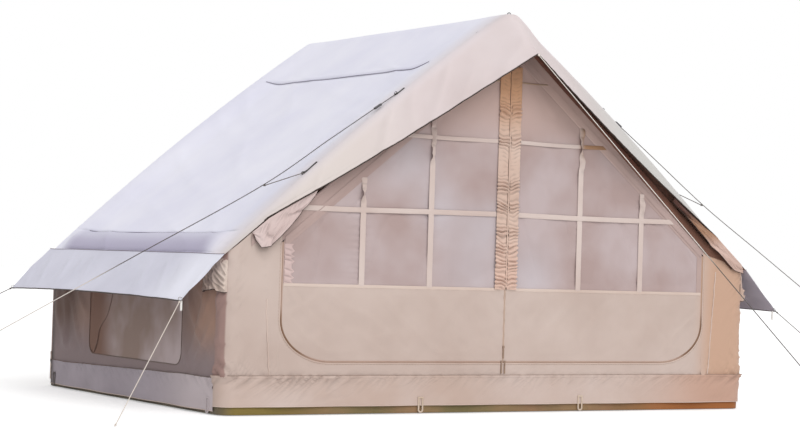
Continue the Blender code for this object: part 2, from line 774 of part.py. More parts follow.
def make_zips(look):
    peak = roof_line(DOOR_PEAK_HALF, DOOR_TOP_INSET)
    half = ZIP_WIDTH / 2
    foot = DOOR_FOOT + half + SEAT
    outline = [(-half, foot), (half, foot), (half, peak), (-half, peak)]
    face = FRONT_FACE
    plate("centre_zip", outline, "Y", face, face + ZIP_THICK, look, hinge_line(-1))
    outer = door_edge(half, 0)[:-2]
    inner = door_edge(-half, 0)[:-2]
    inner[-1] = (inner[-1][0], outer[-1][1])
    rows = []
    for edge in (outer, inner):
        row = [(-x, face, z) for x, z in reversed(edge[1:])] + [(x, face, z) for x, z in edge]
        rows.append(row)
    skin_of("door_edge_zip", rows, ZIP_THICK, look, (0, -1, 0))


def slider_outline():
    """A zip slider and the pull that hangs from it, with the slider's middle at zero."""
    wide, tall = SLIDER_WIDTH / 2, SLIDER_HEIGHT / 2
    nip = SLIDER_WIDTH / 4
    tip = -tall - PULL_NECK - PULL_LENGTH
    neck = PULL_WIDTH / 4
    pull = PULL_WIDTH / 2
    right = [(wide - nip, tall), (wide, tall - nip), (wide, nip - tall), (wide - nip, -tall), (neck, -tall)]
    right += [(neck, -tall - PULL_NECK), (pull, -tall - PULL_NECK - nip), (pull, tip + nip), (neck, tip)]
    return right + [(-x, z) for x, z in reversed(right)]


def make_sliders(look):
    """The centre slider sits on the left leaf's zip. The edge sliders meet below it on the doorway's foot."""
    face = FRONT_FACE - SEAT
    places = (
        ("centre_zip_slider", 0, DOOR_FOOT + ZIP_WIDTH + SLIDER_HEIGHT + PULL_NECK + PULL_LENGTH),
        ("left_edge_slider", -SLIDER_WIDTH, DOOR_FOOT),
        ("right_edge_slider", SLIDER_WIDTH, DOOR_FOOT),
    )
    for name, x, z in places:
        outline = [(x + u, z + v) for u, v in slider_outline()]
        plate(name, outline, "Y", face - SLIDER_THICK, face, look, (x, face, z))


def make_windows(mesh_look, cloth):
    """Each window has a mesh in its opening, and a zipped flap inside that turns on its foot."""
    side_hole = (SIDE_WINDOW_MIDDLE, SIDE_WINDOW_HALF, SIDE_WINDOW_FOOT, SIDE_WINDOW_HEIGHT)
    rear_hole = (0, REAR_WINDOW_HALF, REAR_WINDOW_FOOT, REAR_WINDOW_HEIGHT)
    walls = (
        ("left", "X", -HALF, 1, side_hole),
        ("right", "X", HALF, -1, side_hole),
        ("rear", "Y", HALF_DEPTH, -1, rear_hole),
    )
    for word, across, face, inward, hole in walls:
        net = [face + inward * (CLOTH / 2 + edge * MESH_CLOTH / 2) for edge in (-1, 1)]
        plate(f"{word}_window_mesh", window_outline(*hole, -SEAT), across, min(net), max(net), mesh_look)
        flap = [face + inward * (SKIN + edge * CLOTH) for edge in (0, 1)]
        middle = sum(flap) / 2
        foot = hole[2] - FLAP_LAP
        origin = (middle, hole[0], foot) if across == "X" else (hole[0], middle, foot)
        outline = window_outline(*hole, FLAP_LAP)
        plate(f"{word}_window_flap", outline, across, min(flap), max(flap), cloth, origin)


def loop_outline(middle, grow):
    """A peg loop hanging from the skirt: straight at the top and round at the foot."""
    half = LOOP_WIDTH / 2 + grow
    foot = LOOP_LIFT + LOOP_WIDTH / 2
    top = LOOP_LIFT + LOOP_HEIGHT + grow
    round_foot = arc((middle, foot), half, math.pi, 2 * math.pi, ROUND_STEPS // 4)
    return round_foot + [(middle + half, top), (middle - half, top)]


def make_peg_loops(look):
    out = 2 * LOOP_THICK
    back = ARCH_Y - CORNER_LOOP_SET_BACK
    places = (
        ("front_left_peg_loop", "Y", -FRONT_LOOP, -HALF_DEPTH, -1),
        ("front_right_peg_loop", "Y", FRONT_LOOP, -HALF_DEPTH, -1),
        ("left_front_corner_loop", "X", -back, -HALF, -1),
        ("left_rear_corner_loop", "X", back, -HALF, -1),
        ("right_front_corner_loop", "X", -back, HALF, 1),
        ("right_rear_corner_loop", "X", back, HALF, 1),
    )
    for name, across, middle, face, side in places:
        end = POST_X if across == "Y" else ARCH_Y
        edges = (middle - SKIRT_STATION / 2, middle + SKIRT_STATION / 2)
        near = face + side * (SKIN + SEAT + max(skirt_flare(edge, end) for edge in edges))
        far = near + side * LOOP_THICK
        loop = plate(name, loop_outline(middle, 0), across, min(near, far), max(near, far), look)
        hole = plate("hole", loop_outline(middle, -LOOP_WEB), across, near - out, near + out, look)
        boolean(loop, hole, "DIFFERENCE")


def make_valve(look, cap_look):
    centre = (POST_X - VALVE_SET_IN, 0, VALVE_HEIGHT)
    inner = ARCH_Y + math.sqrt(ARCH_RADIUS**2 - (VALVE_SET_IN - VALVE_STEM_RADIUS) ** 2) + SEAT
    seat = HALF_DEPTH + SEAT
    outer = seat + VALVE_FLANGE_THICK
    profile = (
        (VALVE_STEM_RADIUS, inner),
        (VALVE_STEM_RADIUS, seat),
        (VALVE_FLANGE_RADIUS, seat),
        (VALVE_FLANGE_RADIUS, outer),
        (VALVE_BORE_RADIUS, outer),
        (VALVE_BORE_RADIUS, inner + CLOTH),
    )
    turned("air_valve", profile, centre, ROUND_STEPS // 2, look)
    near = outer + SEAT
    hinge = (centre[0], near + CAP_THICK / 2, centre[2] + CAP_RADIUS + CAP_LUG / 2)
    rim, face = near + CAP_THICK * CAP_RIM_SHARE, near + CAP_THICK
    cap_profile = ((CAP_RADIUS, near), (CAP_RADIUS, rim), (CAP_RADIUS * CAP_FACE_SHARE, face))
    cap = turned("valve_cap", cap_profile, centre, ROUND_STEPS // 2, cap_look, hinge)
    half, low, high = CAP_LUG_WIDTH / 2, hinge[2] - CAP_LUG, hinge[2] + CAP_LUG / 2
    outline = [(centre[0] + u, v) for u, v in ((-half, low), (half, low), (half, high), (-half, high))]
    thick = (hinge[1] - CAP_LUG_THICK / 2, hinge[1] + CAP_LUG_THICK / 2)
    boolean(cap, plate("lug", outline, "Y", *thick, cap_look), "UNION")


def rope(name, route, look, steps=12):
    """A rope under tension along a hand-chosen route, read from a smooth curve through its points."""
    points = [Vector(point) for point in route]
    smooth_points = []
    spans = len(points) - 1
    for span in range(spans):
        before = points[max(span - 1, 0)]
        start, end = points[span], points[span + 1]
        after = points[min(span + 2, spans)]
        lead_in = (end - before) / 6
        lead_out = (after - start) / 6
        count = max(2, round(steps / spans))
        for i in range(count):
            t = i / count
            a, b, c, d = (1 - t) ** 3, 3 * t * (1 - t) ** 2, 3 * t * t * (1 - t), t**3
            smooth_points.append(start * a + (start + lead_in) * b + (end - lead_out) * c + end * d)
    smooth_points.append(points[-1])
    return tube(name, smooth_points, ROPE_RADIUS, 2, look)


# Guy rope routes, from the tent outwards
CANOPY_TIP_ROUTE = ((0, -1.2385, 1.70165), (0, -1.9, 1.2191), (0, -2.55, 0.7447), (0, -3.137, 0.316))
LEFT_GUY_ROUTE = (
    (-0.5917, -0.9534, 1.4949),
    (-0.9494, -0.9587, 1.258),
    (-1.307, -0.964, 1.021),
    (-1.9325, -0.979, 0.6835),
    (-2.558, -0.994, 0.346),
)
LEFT_LEG_ROUTE = ((-1.0767, -0.9534, 1.0971), (-1.1833, -0.9583, 1.0619), (-1.2899, -0.9632, 1.0266))
RIGHT_GUY_ROUTE = (
    (0.5917, -0.9534, 1.4949),
    (0.9324, -0.9532, 1.264),
    (1.273, -0.953, 1.033),
    (1.637, -0.9525, 0.815),
    (2.001, -0.952, 0.597),
)
RIGHT_LEG_ROUTE = ((1.0767, -0.9534, 1.0971), (1.1663, -0.9532, 1.0679), (1.2559, -0.953, 1.0386))
LEFT_FRONT_ROUTE = ((-1.71065, -1.02033, 0.50464), (-1.956, -1.251, 0.2536), (-2.2, -1.48, 0.004))
LEFT_REAR_ROUTE = ((-1.7105, 1.02053, 0.50479), (-1.7392, 1.0928, 0.476), (-1.767, 1.163, 0.448))
RIGHT_FRONT_ROUTE = ((1.71067, -1.02027, 0.50462), (1.7816, -1.0732, 0.4306), (1.851, -1.125, 0.358))


def make_ropes(look):
    rope("canopy_tip_rope", CANOPY_TIP_ROUTE, look)
    rope("left_guy_rope", LEFT_GUY_ROUTE, look, 16)
    rope("left_guy_leg", LEFT_LEG_ROUTE, look, 4)
    rope("right_guy_rope", RIGHT_GUY_ROUTE, look, 16)
    rope("right_guy_leg", RIGHT_LEG_ROUTE, look, 4)
    rope("left_front_awning_rope", LEFT_FRONT_ROUTE, look)
    rope("left_rear_awning_rope", LEFT_REAR_ROUTE, look, 4)
    rope("right_front_awning_rope", RIGHT_FRONT_ROUTE, look, 4)


def make_runners(look):
    """The plastic runners that tighten the side guy ropes: a rounded block that the rope runs through."""
    for name, route in (("left_guy_runner", LEFT_GUY_ROUTE), ("right_guy_runner", RIGHT_GUY_ROUTE)):
        start, after = Vector(route[0]), Vector(route[1])
        way = (after - start).normalized()
        middle = start + way * RUNNER_PLACE
        turn = way.to_track_quat("X", "Z").to_matrix().to_4x4()
        long, wide = RUNNER_LENGTH / 2, RUNNER_WIDTH / 2
        nip = RUNNER_WIDTH / 4
        right = [(long - nip, wide), (long, wide - nip), (long, nip - wide), (long - nip, -wide)]
        outline = right + [(-u, -v) for u, v in right]
        block = plate(name, outline, "Z", -RUNNER_THICK / 2, RUNNER_THICK / 2, look)
        bore = tube("bore", [(-RUNNER_LENGTH, 0, 0), (RUNNER_LENGTH, 0, 0)], RUNNER_BORE, 2, look)
        boolean(block, meshed(bore), "DIFFERENCE")
        block.matrix_world = Matrix.Translation(middle) @ turn


def main():
    clear_scene()
    fly = material("fly_cloth", "D6D5E0", 0.75)
    canvas = material("wall_cloth", "C9B5A8", 0.85)
    sleeve = material("air_beam_film", "D8CFC6", 0.5)
    ground = material("groundsheet_film", "6E6234", 0.6)
    net = material("window_net", "B9A5A2", 0.8)
    tape = material("strap_tape", "D9C8BA", 0.8)
    zip_look = material("zip_coil", "A98D7A", 0.5)
    metal = material("slider_metal", "8E8A86", 0.35, 1.0)
    web = material("peg_webbing", "3A342C", 0.8)
    plastic = material("valve_plastic", "5B5B5E", 0.45)
    cord = material("guy_rope", "6F6A66", 0.7)
    make_groundsheet(ground)
    make_air_frame(sleeve)
    make_roof(fly)
    make_canopy(canvas)
    make_awnings(fly)
    make_front_wall(canvas)
    make_rear_wall(canvas)
    make_side_walls(canvas)
    make_skirts(canvas)
    make_door_leaves(canvas, net)
    make_door_straps(tape)
    make_gathers(tape)
    make_zips(zip_look)
    make_sliders(metal)
    make_windows(net, canvas)
    make_peg_loops(web)
    make_valve(plastic, plastic)
    make_ropes(cord)
    make_runners(plastic)


main()
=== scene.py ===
# %% [markdown]
# # An inflatable ridge tent
#
# The tent stands on two inflated arches, joined by an inflated beam along the ridge and one along each eave.
# A pale fly lies over them. At the front it runs on as a canopy that comes to a point over the door, and
# along each side it hangs out as a short awning. The walls, doors and skirts below are a thicker beige cloth.
#
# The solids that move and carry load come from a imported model, the frame. This script dresses it. Each cloth
# panel is drawn again with its folds, seams and hems, in the same place as the solid that it stands for.

# %% Load the frame
import json
import math
from math import pi

import bmesh
import bpy
import numpy as np
from mathutils import Matrix, Vector, noise
from numpy.linalg import norm

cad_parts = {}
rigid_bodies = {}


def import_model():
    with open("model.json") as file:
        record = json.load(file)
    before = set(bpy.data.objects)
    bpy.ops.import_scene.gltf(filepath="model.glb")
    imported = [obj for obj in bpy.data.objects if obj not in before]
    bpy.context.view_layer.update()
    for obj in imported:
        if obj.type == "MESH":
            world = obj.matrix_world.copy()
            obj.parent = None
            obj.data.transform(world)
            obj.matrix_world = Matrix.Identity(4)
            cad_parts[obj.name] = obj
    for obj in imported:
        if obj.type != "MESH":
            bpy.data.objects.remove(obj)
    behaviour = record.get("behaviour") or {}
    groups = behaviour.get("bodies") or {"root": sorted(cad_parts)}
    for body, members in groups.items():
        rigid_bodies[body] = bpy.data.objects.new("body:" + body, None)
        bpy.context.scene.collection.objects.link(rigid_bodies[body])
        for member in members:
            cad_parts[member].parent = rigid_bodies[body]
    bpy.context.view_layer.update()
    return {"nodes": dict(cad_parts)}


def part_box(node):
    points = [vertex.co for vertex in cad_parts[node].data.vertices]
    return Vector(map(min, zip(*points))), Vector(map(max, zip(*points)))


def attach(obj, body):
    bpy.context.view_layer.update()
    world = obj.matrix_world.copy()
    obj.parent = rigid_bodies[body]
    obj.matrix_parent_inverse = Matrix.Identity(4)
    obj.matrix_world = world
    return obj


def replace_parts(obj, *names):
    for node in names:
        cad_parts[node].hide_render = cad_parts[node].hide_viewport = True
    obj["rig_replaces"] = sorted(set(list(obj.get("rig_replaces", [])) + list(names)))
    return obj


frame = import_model()
nodes = frame["nodes"]

# %% [markdown]
# ## Sizes
#
# The frame gives the sizes that it can: each node's box says how wide, deep and high the tent is. The rest
# are the real sizes that the solids were built from, so a panel drawn here lies where its solid lies. The
# solids' cloth is 3 mm thick, with a seat of 0.3 mm between two pieces. The cloth that is seen is thinner.

# %% Overall sizes
HALF = -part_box("left_wall")[0][0]
HALF_DEPTH = -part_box("front_wall")[0][1]
EAVE_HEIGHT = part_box("left_awning")[1][2]
RIDGE_HEIGHT = 1.91
CLOTH = 0.003
SEAT = 0.0003
SKIN = CLOTH + SEAT
SEEN_CLOTH = 0.0012
ARCH_RADIUS = 0.06
RIDGE_BEAM_RADIUS = 0.055
EAVE_BEAM_RADIUS = 0.05
INSET = 2 * SKIN + ARCH_RADIUS
POST_X = HALF - INSET
ARCH_Y = HALF_DEPTH - INSET
FRONT = -HALF_DEPTH
FORWARD = (0, -1, 0)
print("half width", round(HALF, 3), "half depth", round(HALF_DEPTH, 3), "eave", round(EAVE_HEIGHT, 3))

# %% [markdown]
# ## The roof's lines
#
# The fly's slope is straight from the ridge to the eave, seen from the end. The ridge beam rounds the top,
# and an inflated rafter never stays straight: it bows up a little in the middle. These functions take numpy
# arrays, so a whole panel is worked out at once.

# %% Roof lines
RAFTER_BOW = 0.035
BOW_FULLNESS = 0.8
RIDGE_ROUND = RIDGE_BEAM_RADIUS + SKIN
RISE = RIDGE_HEIGHT - EAVE_HEIGHT
APEX = RIDGE_HEIGHT + RIDGE_ROUND * (math.hypot(RISE, HALF) / HALF - 1)
SLOPE = math.atan2(APEX - EAVE_HEIGHT, HALF)
COS, SIN = math.cos(SLOPE), math.sin(SLOPE)


def roof_line(x, inward=0.0):
    """Height of the straight slope over x, or of a line that lies inward of it."""
    return APEX - (APEX - EAVE_HEIGHT) * abs(x) / HALF - inward / COS


def roof_top(x):
    """Height of the fly over x, rounded by the ridge beam."""
    round_top = roof_line(0, RIDGE_ROUND) + np.sqrt(np.maximum(RIDGE_ROUND**2 - np.square(x), 0))
    return np.where(abs(x) < RIDGE_ROUND * SIN, round_top, roof_line(x))


def bow(x):
    """How far the inflated rafters bow out of the slope at x."""
    return RAFTER_BOW * np.sin(pi * np.minimum(1, abs(x) / HALF)) ** BOW_FULLNESS


def ramp(value, low, high):
    """0 below low, 1 above high, and a smooth rise between."""
    t = np.clip((np.asarray(value, float) - low) / (high - low), 0, 1)
    return t * t * (3 - 2 * t)


def steps(count):
    """Even steps from 0 to 1, as a column."""
    return np.linspace(0, 1, count)[:, None]


def bump(value, middle, reach):
    """1 at the middle, falling smoothly to 0 at a reach on either side."""
    return ramp(1 - abs(np.asarray(value, float) - middle) / reach, 0, 1)


print("slope in degrees:", round(math.degrees(SLOPE), 1))

# %% [markdown]
# ## Camera
#
# The camera stands at the front left, at about the height of the knee, with a long lens. It comes before the
# pieces. Each rope is as long as the view shows it and ends in its knot just outside the view.

# %% Camera
CAMERA_PLACE = Vector((-5.62165, -9.27594, 0.71294))
CAMERA_YAW, CAMERA_PITCH, CAMERA_ROLL = (math.radians(a) for a in (31.308, 1.1794, 1.7666))
PHOTO_WIDTH = 800
FOCAL_PIXELS = 2081.08
SENSOR = 36.0

flat = math.cos(CAMERA_PITCH)
ahead = Vector((math.sin(CAMERA_YAW) * flat, math.cos(CAMERA_YAW) * flat, math.sin(CAMERA_PITCH)))
level = Vector((math.cos(CAMERA_YAW), -math.sin(CAMERA_YAW), 0))
upright = level.cross(ahead)
right_way = level * math.cos(CAMERA_ROLL) + upright * math.sin(CAMERA_ROLL)
up_way = upright * math.cos(CAMERA_ROLL) - level * math.sin(CAMERA_ROLL)
lens = bpy.data.cameras.new("camera")
lens.sensor_width = SENSOR
lens.lens = FOCAL_PIXELS / PHOTO_WIDTH * SENSOR
lens.clip_end = 200
camera = bpy.data.objects.new("camera", lens)
turned = Matrix((right_way, up_way, -ahead)).transposed().to_4x4()
camera.matrix_world = Matrix.Translation(CAMERA_PLACE) @ turned
bpy.context.scene.collection.objects.link(camera)
bpy.context.scene.camera = camera
print("lens in mm:", round(lens.lens, 1))

# %% [markdown]
# ## Making materials
#
# A material is a small graph of nodes. One function adds a node, sets its values and joins its inputs, and
# one turns the hex colours that people read into the linear numbers that a renderer works in.

# %% Colour and node helpers


def colour(hex_code):
    """A hex sRGB colour as linear numbers."""
    channels = [int(hex_code[i : i + 2], 16) / 255 for i in (0, 2, 4)]
    return (*[c / 12.92 if c <= 0.04045 else ((c + 0.055) / 1.055) ** 2.4 for c in channels], 1.0)


def add(tree, kind, values=None, links=None, into=None, **settings):
    """Adds a node, with its settings, input values and links, and joins its first output into a socket.

    kind is the node's type without the ShaderNode that each of them starts with.
    """
    node = tree.nodes.new("ShaderNode" + kind)
    for key, value in settings.items():
        setattr(node, key, value)
    for key, value in (values or {}).items():
        node.inputs[key].default_value = value
    for key, socket in (links or {}).items():
        tree.links.new(socket, node.inputs[key])
    if into:
        tree.links.new(node.outputs[0], into)
    return node


def start_material(name, hex_code, roughness, metallic=0.0, slot="wall_cloth", **sockets):
    """A material with a Principled shader, whose plain values are set on its own sockets."""
    look = bpy.data.materials.new(name)
    look["slot"] = slot
    look.use_nodes = True
    tree = look.node_tree
    shader = tree.nodes["Principled BSDF"]
    shader.inputs["Base Color"].default_value = colour(hex_code)
    shader.inputs["Roughness"].default_value = roughness
    shader.inputs["Metallic"].default_value = metallic
    for key, value in sockets.items():
        shader.inputs[key.replace("_", " ")].default_value = value
    look.diffuse_color = colour(hex_code)
    return look, tree, shader


MILLIMETRE = 0.001

# %% [markdown]
# ## Cloth
#
# The fly is coated polyester and the walls are a heavier polyester and cotton cloth. Real threads are 0.3 to
# 0.5 mm apart, far too fine to show from ten metres, so the weave is drawn at 2.5 mm, coarse enough to catch
# the light. Slow stains of a slightly deeper tone keep a wide panel from looking like plastic. The weave
# runs along the panel's own width and length, which every panel here stores as its UV map in metres. Each
# panel also stores how folded it is at each point, and the cloth is darker in a valley: this darkening is
# painted shade.

# %% Woven cloth
THREAD = 2.5 * MILLIMETRE
TAPE_THREAD = 1.6 * MILLIMETRE
WEBBING_THREAD = 2 * MILLIMETRE
WAVE_BANDS = 3.2  # how many bands a wave texture of scale 1 draws in one metre
CLOUD = 0.45
VALLEY_SHADE = 0.76
CLOTH_SURFACE = dict(Sheen_Weight=0.15, Sheen_Roughness=0.5, IOR=1.46)


def faded(tree, place, tone, fades):
    """A colour that turns to others: each fade is a hex code and slopes, each an axis and its two ends."""
    parts = add(tree, "SeparateXYZ", links={0: place["Object"]})
    for hex_code, *slopes in fades:
        share = None
        for axis, start, end in slopes:
            ends, value = {"From Min": start, "From Max": end}, {"Value": parts.outputs[axis]}
            slope = add(tree, "MapRange", ends, value, interpolation_type="SMOOTHSTEP")
            if share:
                both = {0: share, 1: slope.outputs["Result"]}
                slope = add(tree, "Math", links=both, operation="MULTIPLY")
            share = slope.outputs[0]
        blend = add(tree, "Mix", {7: colour(hex_code)}, {0: share, 6: tone}, data_type="RGBA")
        tone = blend.outputs[2]
    return tone


def clouded(tree, place, clouds, *stops):
    """Slow noise between two tones: each stop is a hex code and its place on the noise."""
    cloud = add(tree, "TexNoise", clouds, {"Vector": place["Object"]})
    tone = add(tree, "ValToRGB", links={"Fac": cloud.outputs["Fac"]})
    for element, (hex_code, position) in zip(tone.color_ramp.elements, stops):
        element.position = position
        element.color = colour(hex_code)
    return tone.outputs["Color"]


# %% A woven finish


def woven(name, slot, light_hex, dark_hex, roughness, thread=THREAD, weave_depth=0.25, fades=()):
    """Woven cloth: crossed wave bands for the threads, slow noise between two tones, painted shade in fold
    valleys.
    """
    look, tree, shader = start_material(name, light_hex, roughness, slot=slot, **CLOTH_SURFACE)
    place = add(tree, "TexCoord").outputs
    stains = {"Scale": 1 / CLOUD, "Detail": 4.0, "Roughness": 0.55}
    tone = clouded(tree, place, stains, (dark_hex, 0.35), (light_hex, 0.68))
    # Painted shade: the base colour is darker in the valleys of the panel's folds.
    fold = add(tree, "Attribute", attribute_name="fold")
    valley = {"From Min": -1.0, "From Max": 0.0, "To Min": VALLEY_SHADE}
    shade = add(tree, "MapRange", valley, {"Value": fold.outputs["Fac"]})
    shaded = {0: faded(tree, place, tone, fades), "Scale": shade.outputs["Result"]}
    add(tree, "VectorMath", links=shaded, into=shader.inputs["Base Color"], operation="SCALE")
    bands = {}
    ripple = {"Scale": 1 / thread / WAVE_BANDS, "Distortion": 0.4, "Detail": 1.0}
    for key, way in enumerate(("X", "Y")):
        band = add(tree, "TexWave", ripple, {"Vector": place["UV"]}, bands_direction=way)
        bands[key] = band.outputs["Fac"]
    weave = add(tree, "Math", links=bands, operation="MULTIPLY")
    press = {"Strength": weave_depth, "Distance": thread / 4}
    add(tree, "Bump", press, {"Height": weave.outputs["Value"]}, into=shader.inputs["Normal"])
    return look


# %% [markdown]
# A fade turns a cloth to another tone along an axis of the tent. Many fades are painted light and shade:
# painted shade over the fly's eave beams, towards the canopy's right end and where the walls turn round the
# posts on the left, and painted light where the fly and the canopy meet. A fade's ends are places in metres.

# %% Fly, canopy and awning cloth
ALONG_BEAM = (("Y", -0.9, -0.72), ("Y", 0.9, 0.72))
# Painted shade: the fly darkens over each eave beam, at the bulge's crease and more on its lower half.
EAVE_SHADE = [
    (hex_code, ("X", side * low, side * high), *ALONG_BEAM)
    for side in (-1, 1)
    for hex_code, low, high in (("CDCADD", 1.386, 1.398), ("BAB4CC", 1.43, 1.49))
]
# Painted light: towards the front the fly turns to a warmer tone, between its own and the canopy's.
FLY_FADES = (("E6DEE3", ("Y", -0.78, -1.0)), *EAVE_SHADE)
AWNING_FADES = [("F2F2FE", ("Y", -0.5, -0.95))]
# The canopy is darker towards its right end with painted shade, and a little browner towards its left end.
CANOPY_ENDS = (("CBC8C4", ("X", 0.1, 0.8)), ("DDD2CD", ("X", -0.45, -1.0)))
# Painted light: near the crest the canopy turns back towards the fly's cooler tone.
CANOPY_FADES = (*CANOPY_ENDS, ("E6DEE3", ("Y", -1.03, -0.94)))
CHEEK_FADES = (("A67C60", ("Z", 0.82, 0.9)), ("5E3A30", ("Z", 0.92, 1.0)))
fly_polyester = woven("fly_polyester", "fly_cloth", "F4F3FF", "EBEAFA", 0.7, fades=FLY_FADES)
awning_polyester = woven("awning_polyester", "fly_cloth", "E0DFEE", "D5D4E3", 0.7, fades=AWNING_FADES)
# The canopy is the fly's own cloth: its warmer, pinker tone is painted light, for warm light on the front.
front_lit_canopy_polyester = woven("front_lit_canopy_polyester", "canopy_cloth", "DFD2D2", "D6C7C6", 0.72, fades=CANOPY_FADES)
cheek_polyester = woven("cheek_polyester", "canopy_cloth", "DCC9C6", "CDB6B1", 0.72)
cheek_shade = woven("shaded_cheek_polyester", "canopy_cloth", "D6B8AC", "C2A294", 0.72, fades=CHEEK_FADES)
# The canopy's coated inside is browner than its outside, and its dark brown is also painted shade, for the
# shade under the canopy.
lining = woven("canopy_lining", "canopy_cloth", "8A6050", "6A4438", 0.8)
awning_lining = woven("awning_lining", "fly_cloth", "C4BFCD", "ADA8B6", 0.8)

# %% Wall, door and skirt cloth
# The front wall turns tan towards its right post. Where the walls turn round the posts on the left to the
# side, they darken with painted shade.
WALL_FADES = (("C6A28B", ("X", 1.15, 1.3)), ("9C7F78", ("X", -1.473, -1.482)))
# Painted light: the net border is paler at its upper right, for light coming through the canopy.
BORDER_PAINTED_LIGHT = [("E0C4BA", ("Z", 1.1, 1.45), ("X", 0.0, 0.3))]
FAR_EDGE = ("4A403B", ("Y", 0.9, 0.96))
# The side walls' cloth is the walls' cloth darkened with painted shade, for the shade under the awning. It
# turns darker towards the rear, warmer near the front post with painted light, greyer low down and darkest at
# its far edge.
SIDE_ENDS = (("6E564C", ("Y", 0.4, 0.75)), ("A2806F", ("Y", -0.6, -0.9)))
SIDE_FADES = (*SIDE_ENDS, ("8C7A7A", ("Z", 0.42, 0.2)), FAR_EDGE)
SIDE_SKIRT_FADES = (("C6B9BC", ("Y", -0.2, -0.8)), FAR_EDGE)
SKIRT_FADES = [("C09C8A", ("X", 0.7, 1.3))]
wall_cloth = woven("wall_poly_cotton", "wall_cloth", "CCBAB1", "C0ACA2", 0.85, fades=WALL_FADES)
net_border = woven("net_border", "wall_cloth", "BEA6A0", "B09892", 0.85, fades=BORDER_PAINTED_LIGHT)
shaded_side_cloth = woven("side_wall_poly_cotton_painted_shade", "wall_cloth", "B69484", "806860", 0.85, fades=SIDE_FADES)
side_skirt_cloth = woven(
    "side_skirt_poly_cotton", "wall_cloth", "B9AEB6", "A2979F", 0.85, fades=SIDE_SKIRT_FADES
)
skirt_cloth = woven("skirt_polyester", "wall_cloth", "CDBBB3", "C0A99D", 0.8, fades=SKIRT_FADES)
ruched_net = woven("ruched_net", "window_net", "D8C0BC", "C2A8A4", 0.85)

# %% Tapes, webbing, lining and sleeves
STRAP_SHADE = ("C3ABA5", ("Z", 1.31, 1.38), ("X", 0.0, -0.2))
STRAP_FADES = (STRAP_SHADE, ("A8805F", ("Z", 1.2, 1.3), ("X", 0.4, 0.46)))
GATHER_FADES = (("D0A07C", ("Z", 1.25, 1.56)), ("DCBCAC", ("Z", 0.95, 0.65)))
FLOOR_ENDS = (("9A5A20", ("X", 0.5, 1.15)), ("7E6C2E", ("X", -0.9, -1.25)))
FLOOR_FADES = (*FLOOR_ENDS, ("665A44", ("X", -1.42, -1.5)))
WINDOW_FADES = [("725A50", ("Y", 0.1, 0.3))]
# Painted shade: the strip under the right side of the canopy, darker still towards the eave.
SHADE_STRIP_FADES = [("6E4838", ("X", 0.7, 1.1))]
SIDE_LOOP_FADES = [("5C534F", ("Y", 0.3, 0.6))]
binding_tape = woven("binding_tape", "strap_tape", "DAC8BD", "CDB7AB", 0.8, TAPE_THREAD)
strap_tape = woven("strap_tape", "strap_tape", "DACAC3", "CEBAB2", 0.8, TAPE_THREAD, 0.4, STRAP_FADES)
gather_cloth = woven("gathered_cloth", "strap_tape", "E2CABC", "CFB2A2", 0.8, fades=GATHER_FADES)
# The sleeves' dark reddish brown is painted shade, for the shade inside the tent and under the canopy.
shaded_sleeve_cloth = woven("beam_sleeve_painted_shade", "air_beam_film", "7D5A4B", "684639", 0.75)
groundsheet_oxford = woven(
    "groundsheet_oxford", "groundsheet_film", "9C7456", "75683F", 0.6, weave_depth=0.5, fades=FLOOR_FADES
)
# The welts are real; their near-black colour is painted shade, the shadow line under the hems and under the
# lower edges of the cheeks and gussets.
dark_piping = woven("dark_piping", "strap_tape", "40312B", "33261F", 0.75, TAPE_THREAD)
window_binding = woven(
    "window_binding", "strap_tape", "7E6C63", "6B5B53", 0.8, TAPE_THREAD, fades=WINDOW_FADES
)
# Painted shade: thin dark lines along the fly's creases stand for their shadow.
crease_shade = woven("painted_crease_shadow", "fly_cloth", "8F889E", "7A738A", 0.8)
painted_shade_cloth = woven("painted_shade_cloth", "canopy_cloth", "A06F5E", "7E5345", 0.8, fades=SHADE_STRIP_FADES)
# Painted shade: the dark cord on the front and rear skirts' seams stands for the seam's shadow line.
seam_shade = woven("painted_seam_shadow", "strap_tape", "9A8073", "8A7063", 0.8)
side_webbing = woven(
    "side_loop_webbing", "peg_webbing", "D2C8C8", "BEB2B4", 0.75, WEBBING_THREAD, fades=SIDE_LOOP_FADES
)
loop_webbing = woven("loop_webbing", "peg_webbing", "D8C6B4", "C3AD98", 0.75, WEBBING_THREAD, 0.6)
dark_webbing = woven("dark_webbing", "peg_webbing", "3B3634", "2C2826", 0.75, WEBBING_THREAD, 0.6)
print("cloths:", len([m for m in bpy.data.materials if m.use_nodes]))

# %% [markdown]
# ## Net, zips, plastic, metal and rope
#
# Mosquito net is polyester thread with holes of about 1.2 mm. At this distance the eye sees a thin veil, so
# the net is a thin sheet that lets part of the light through, with its threads drawn 4 mm apart. The zips are
# nylon coil, the sliders cast zinc, the valve and the runners moulded nylon, and the ropes braided polyester.

# %% Net, zip, plastic, metal and rope
NET_CLOUDS = {"Scale": 3.0, "Detail": 3.0, "Roughness": 0.5}
NET_PITCH = 4 * MILLIMETRE
NET_PALE = "C8B7B7"
# Painted light: nets turn paler high up, where the canopy's shadow falls on them.
NET_TOP_PAINTED_LIGHT = ("D4B8AF", ("Z", 1.2, 1.5))
DAYLIGHT = "DCDCE6"
DAYLIGHT_SHARE = 0.32


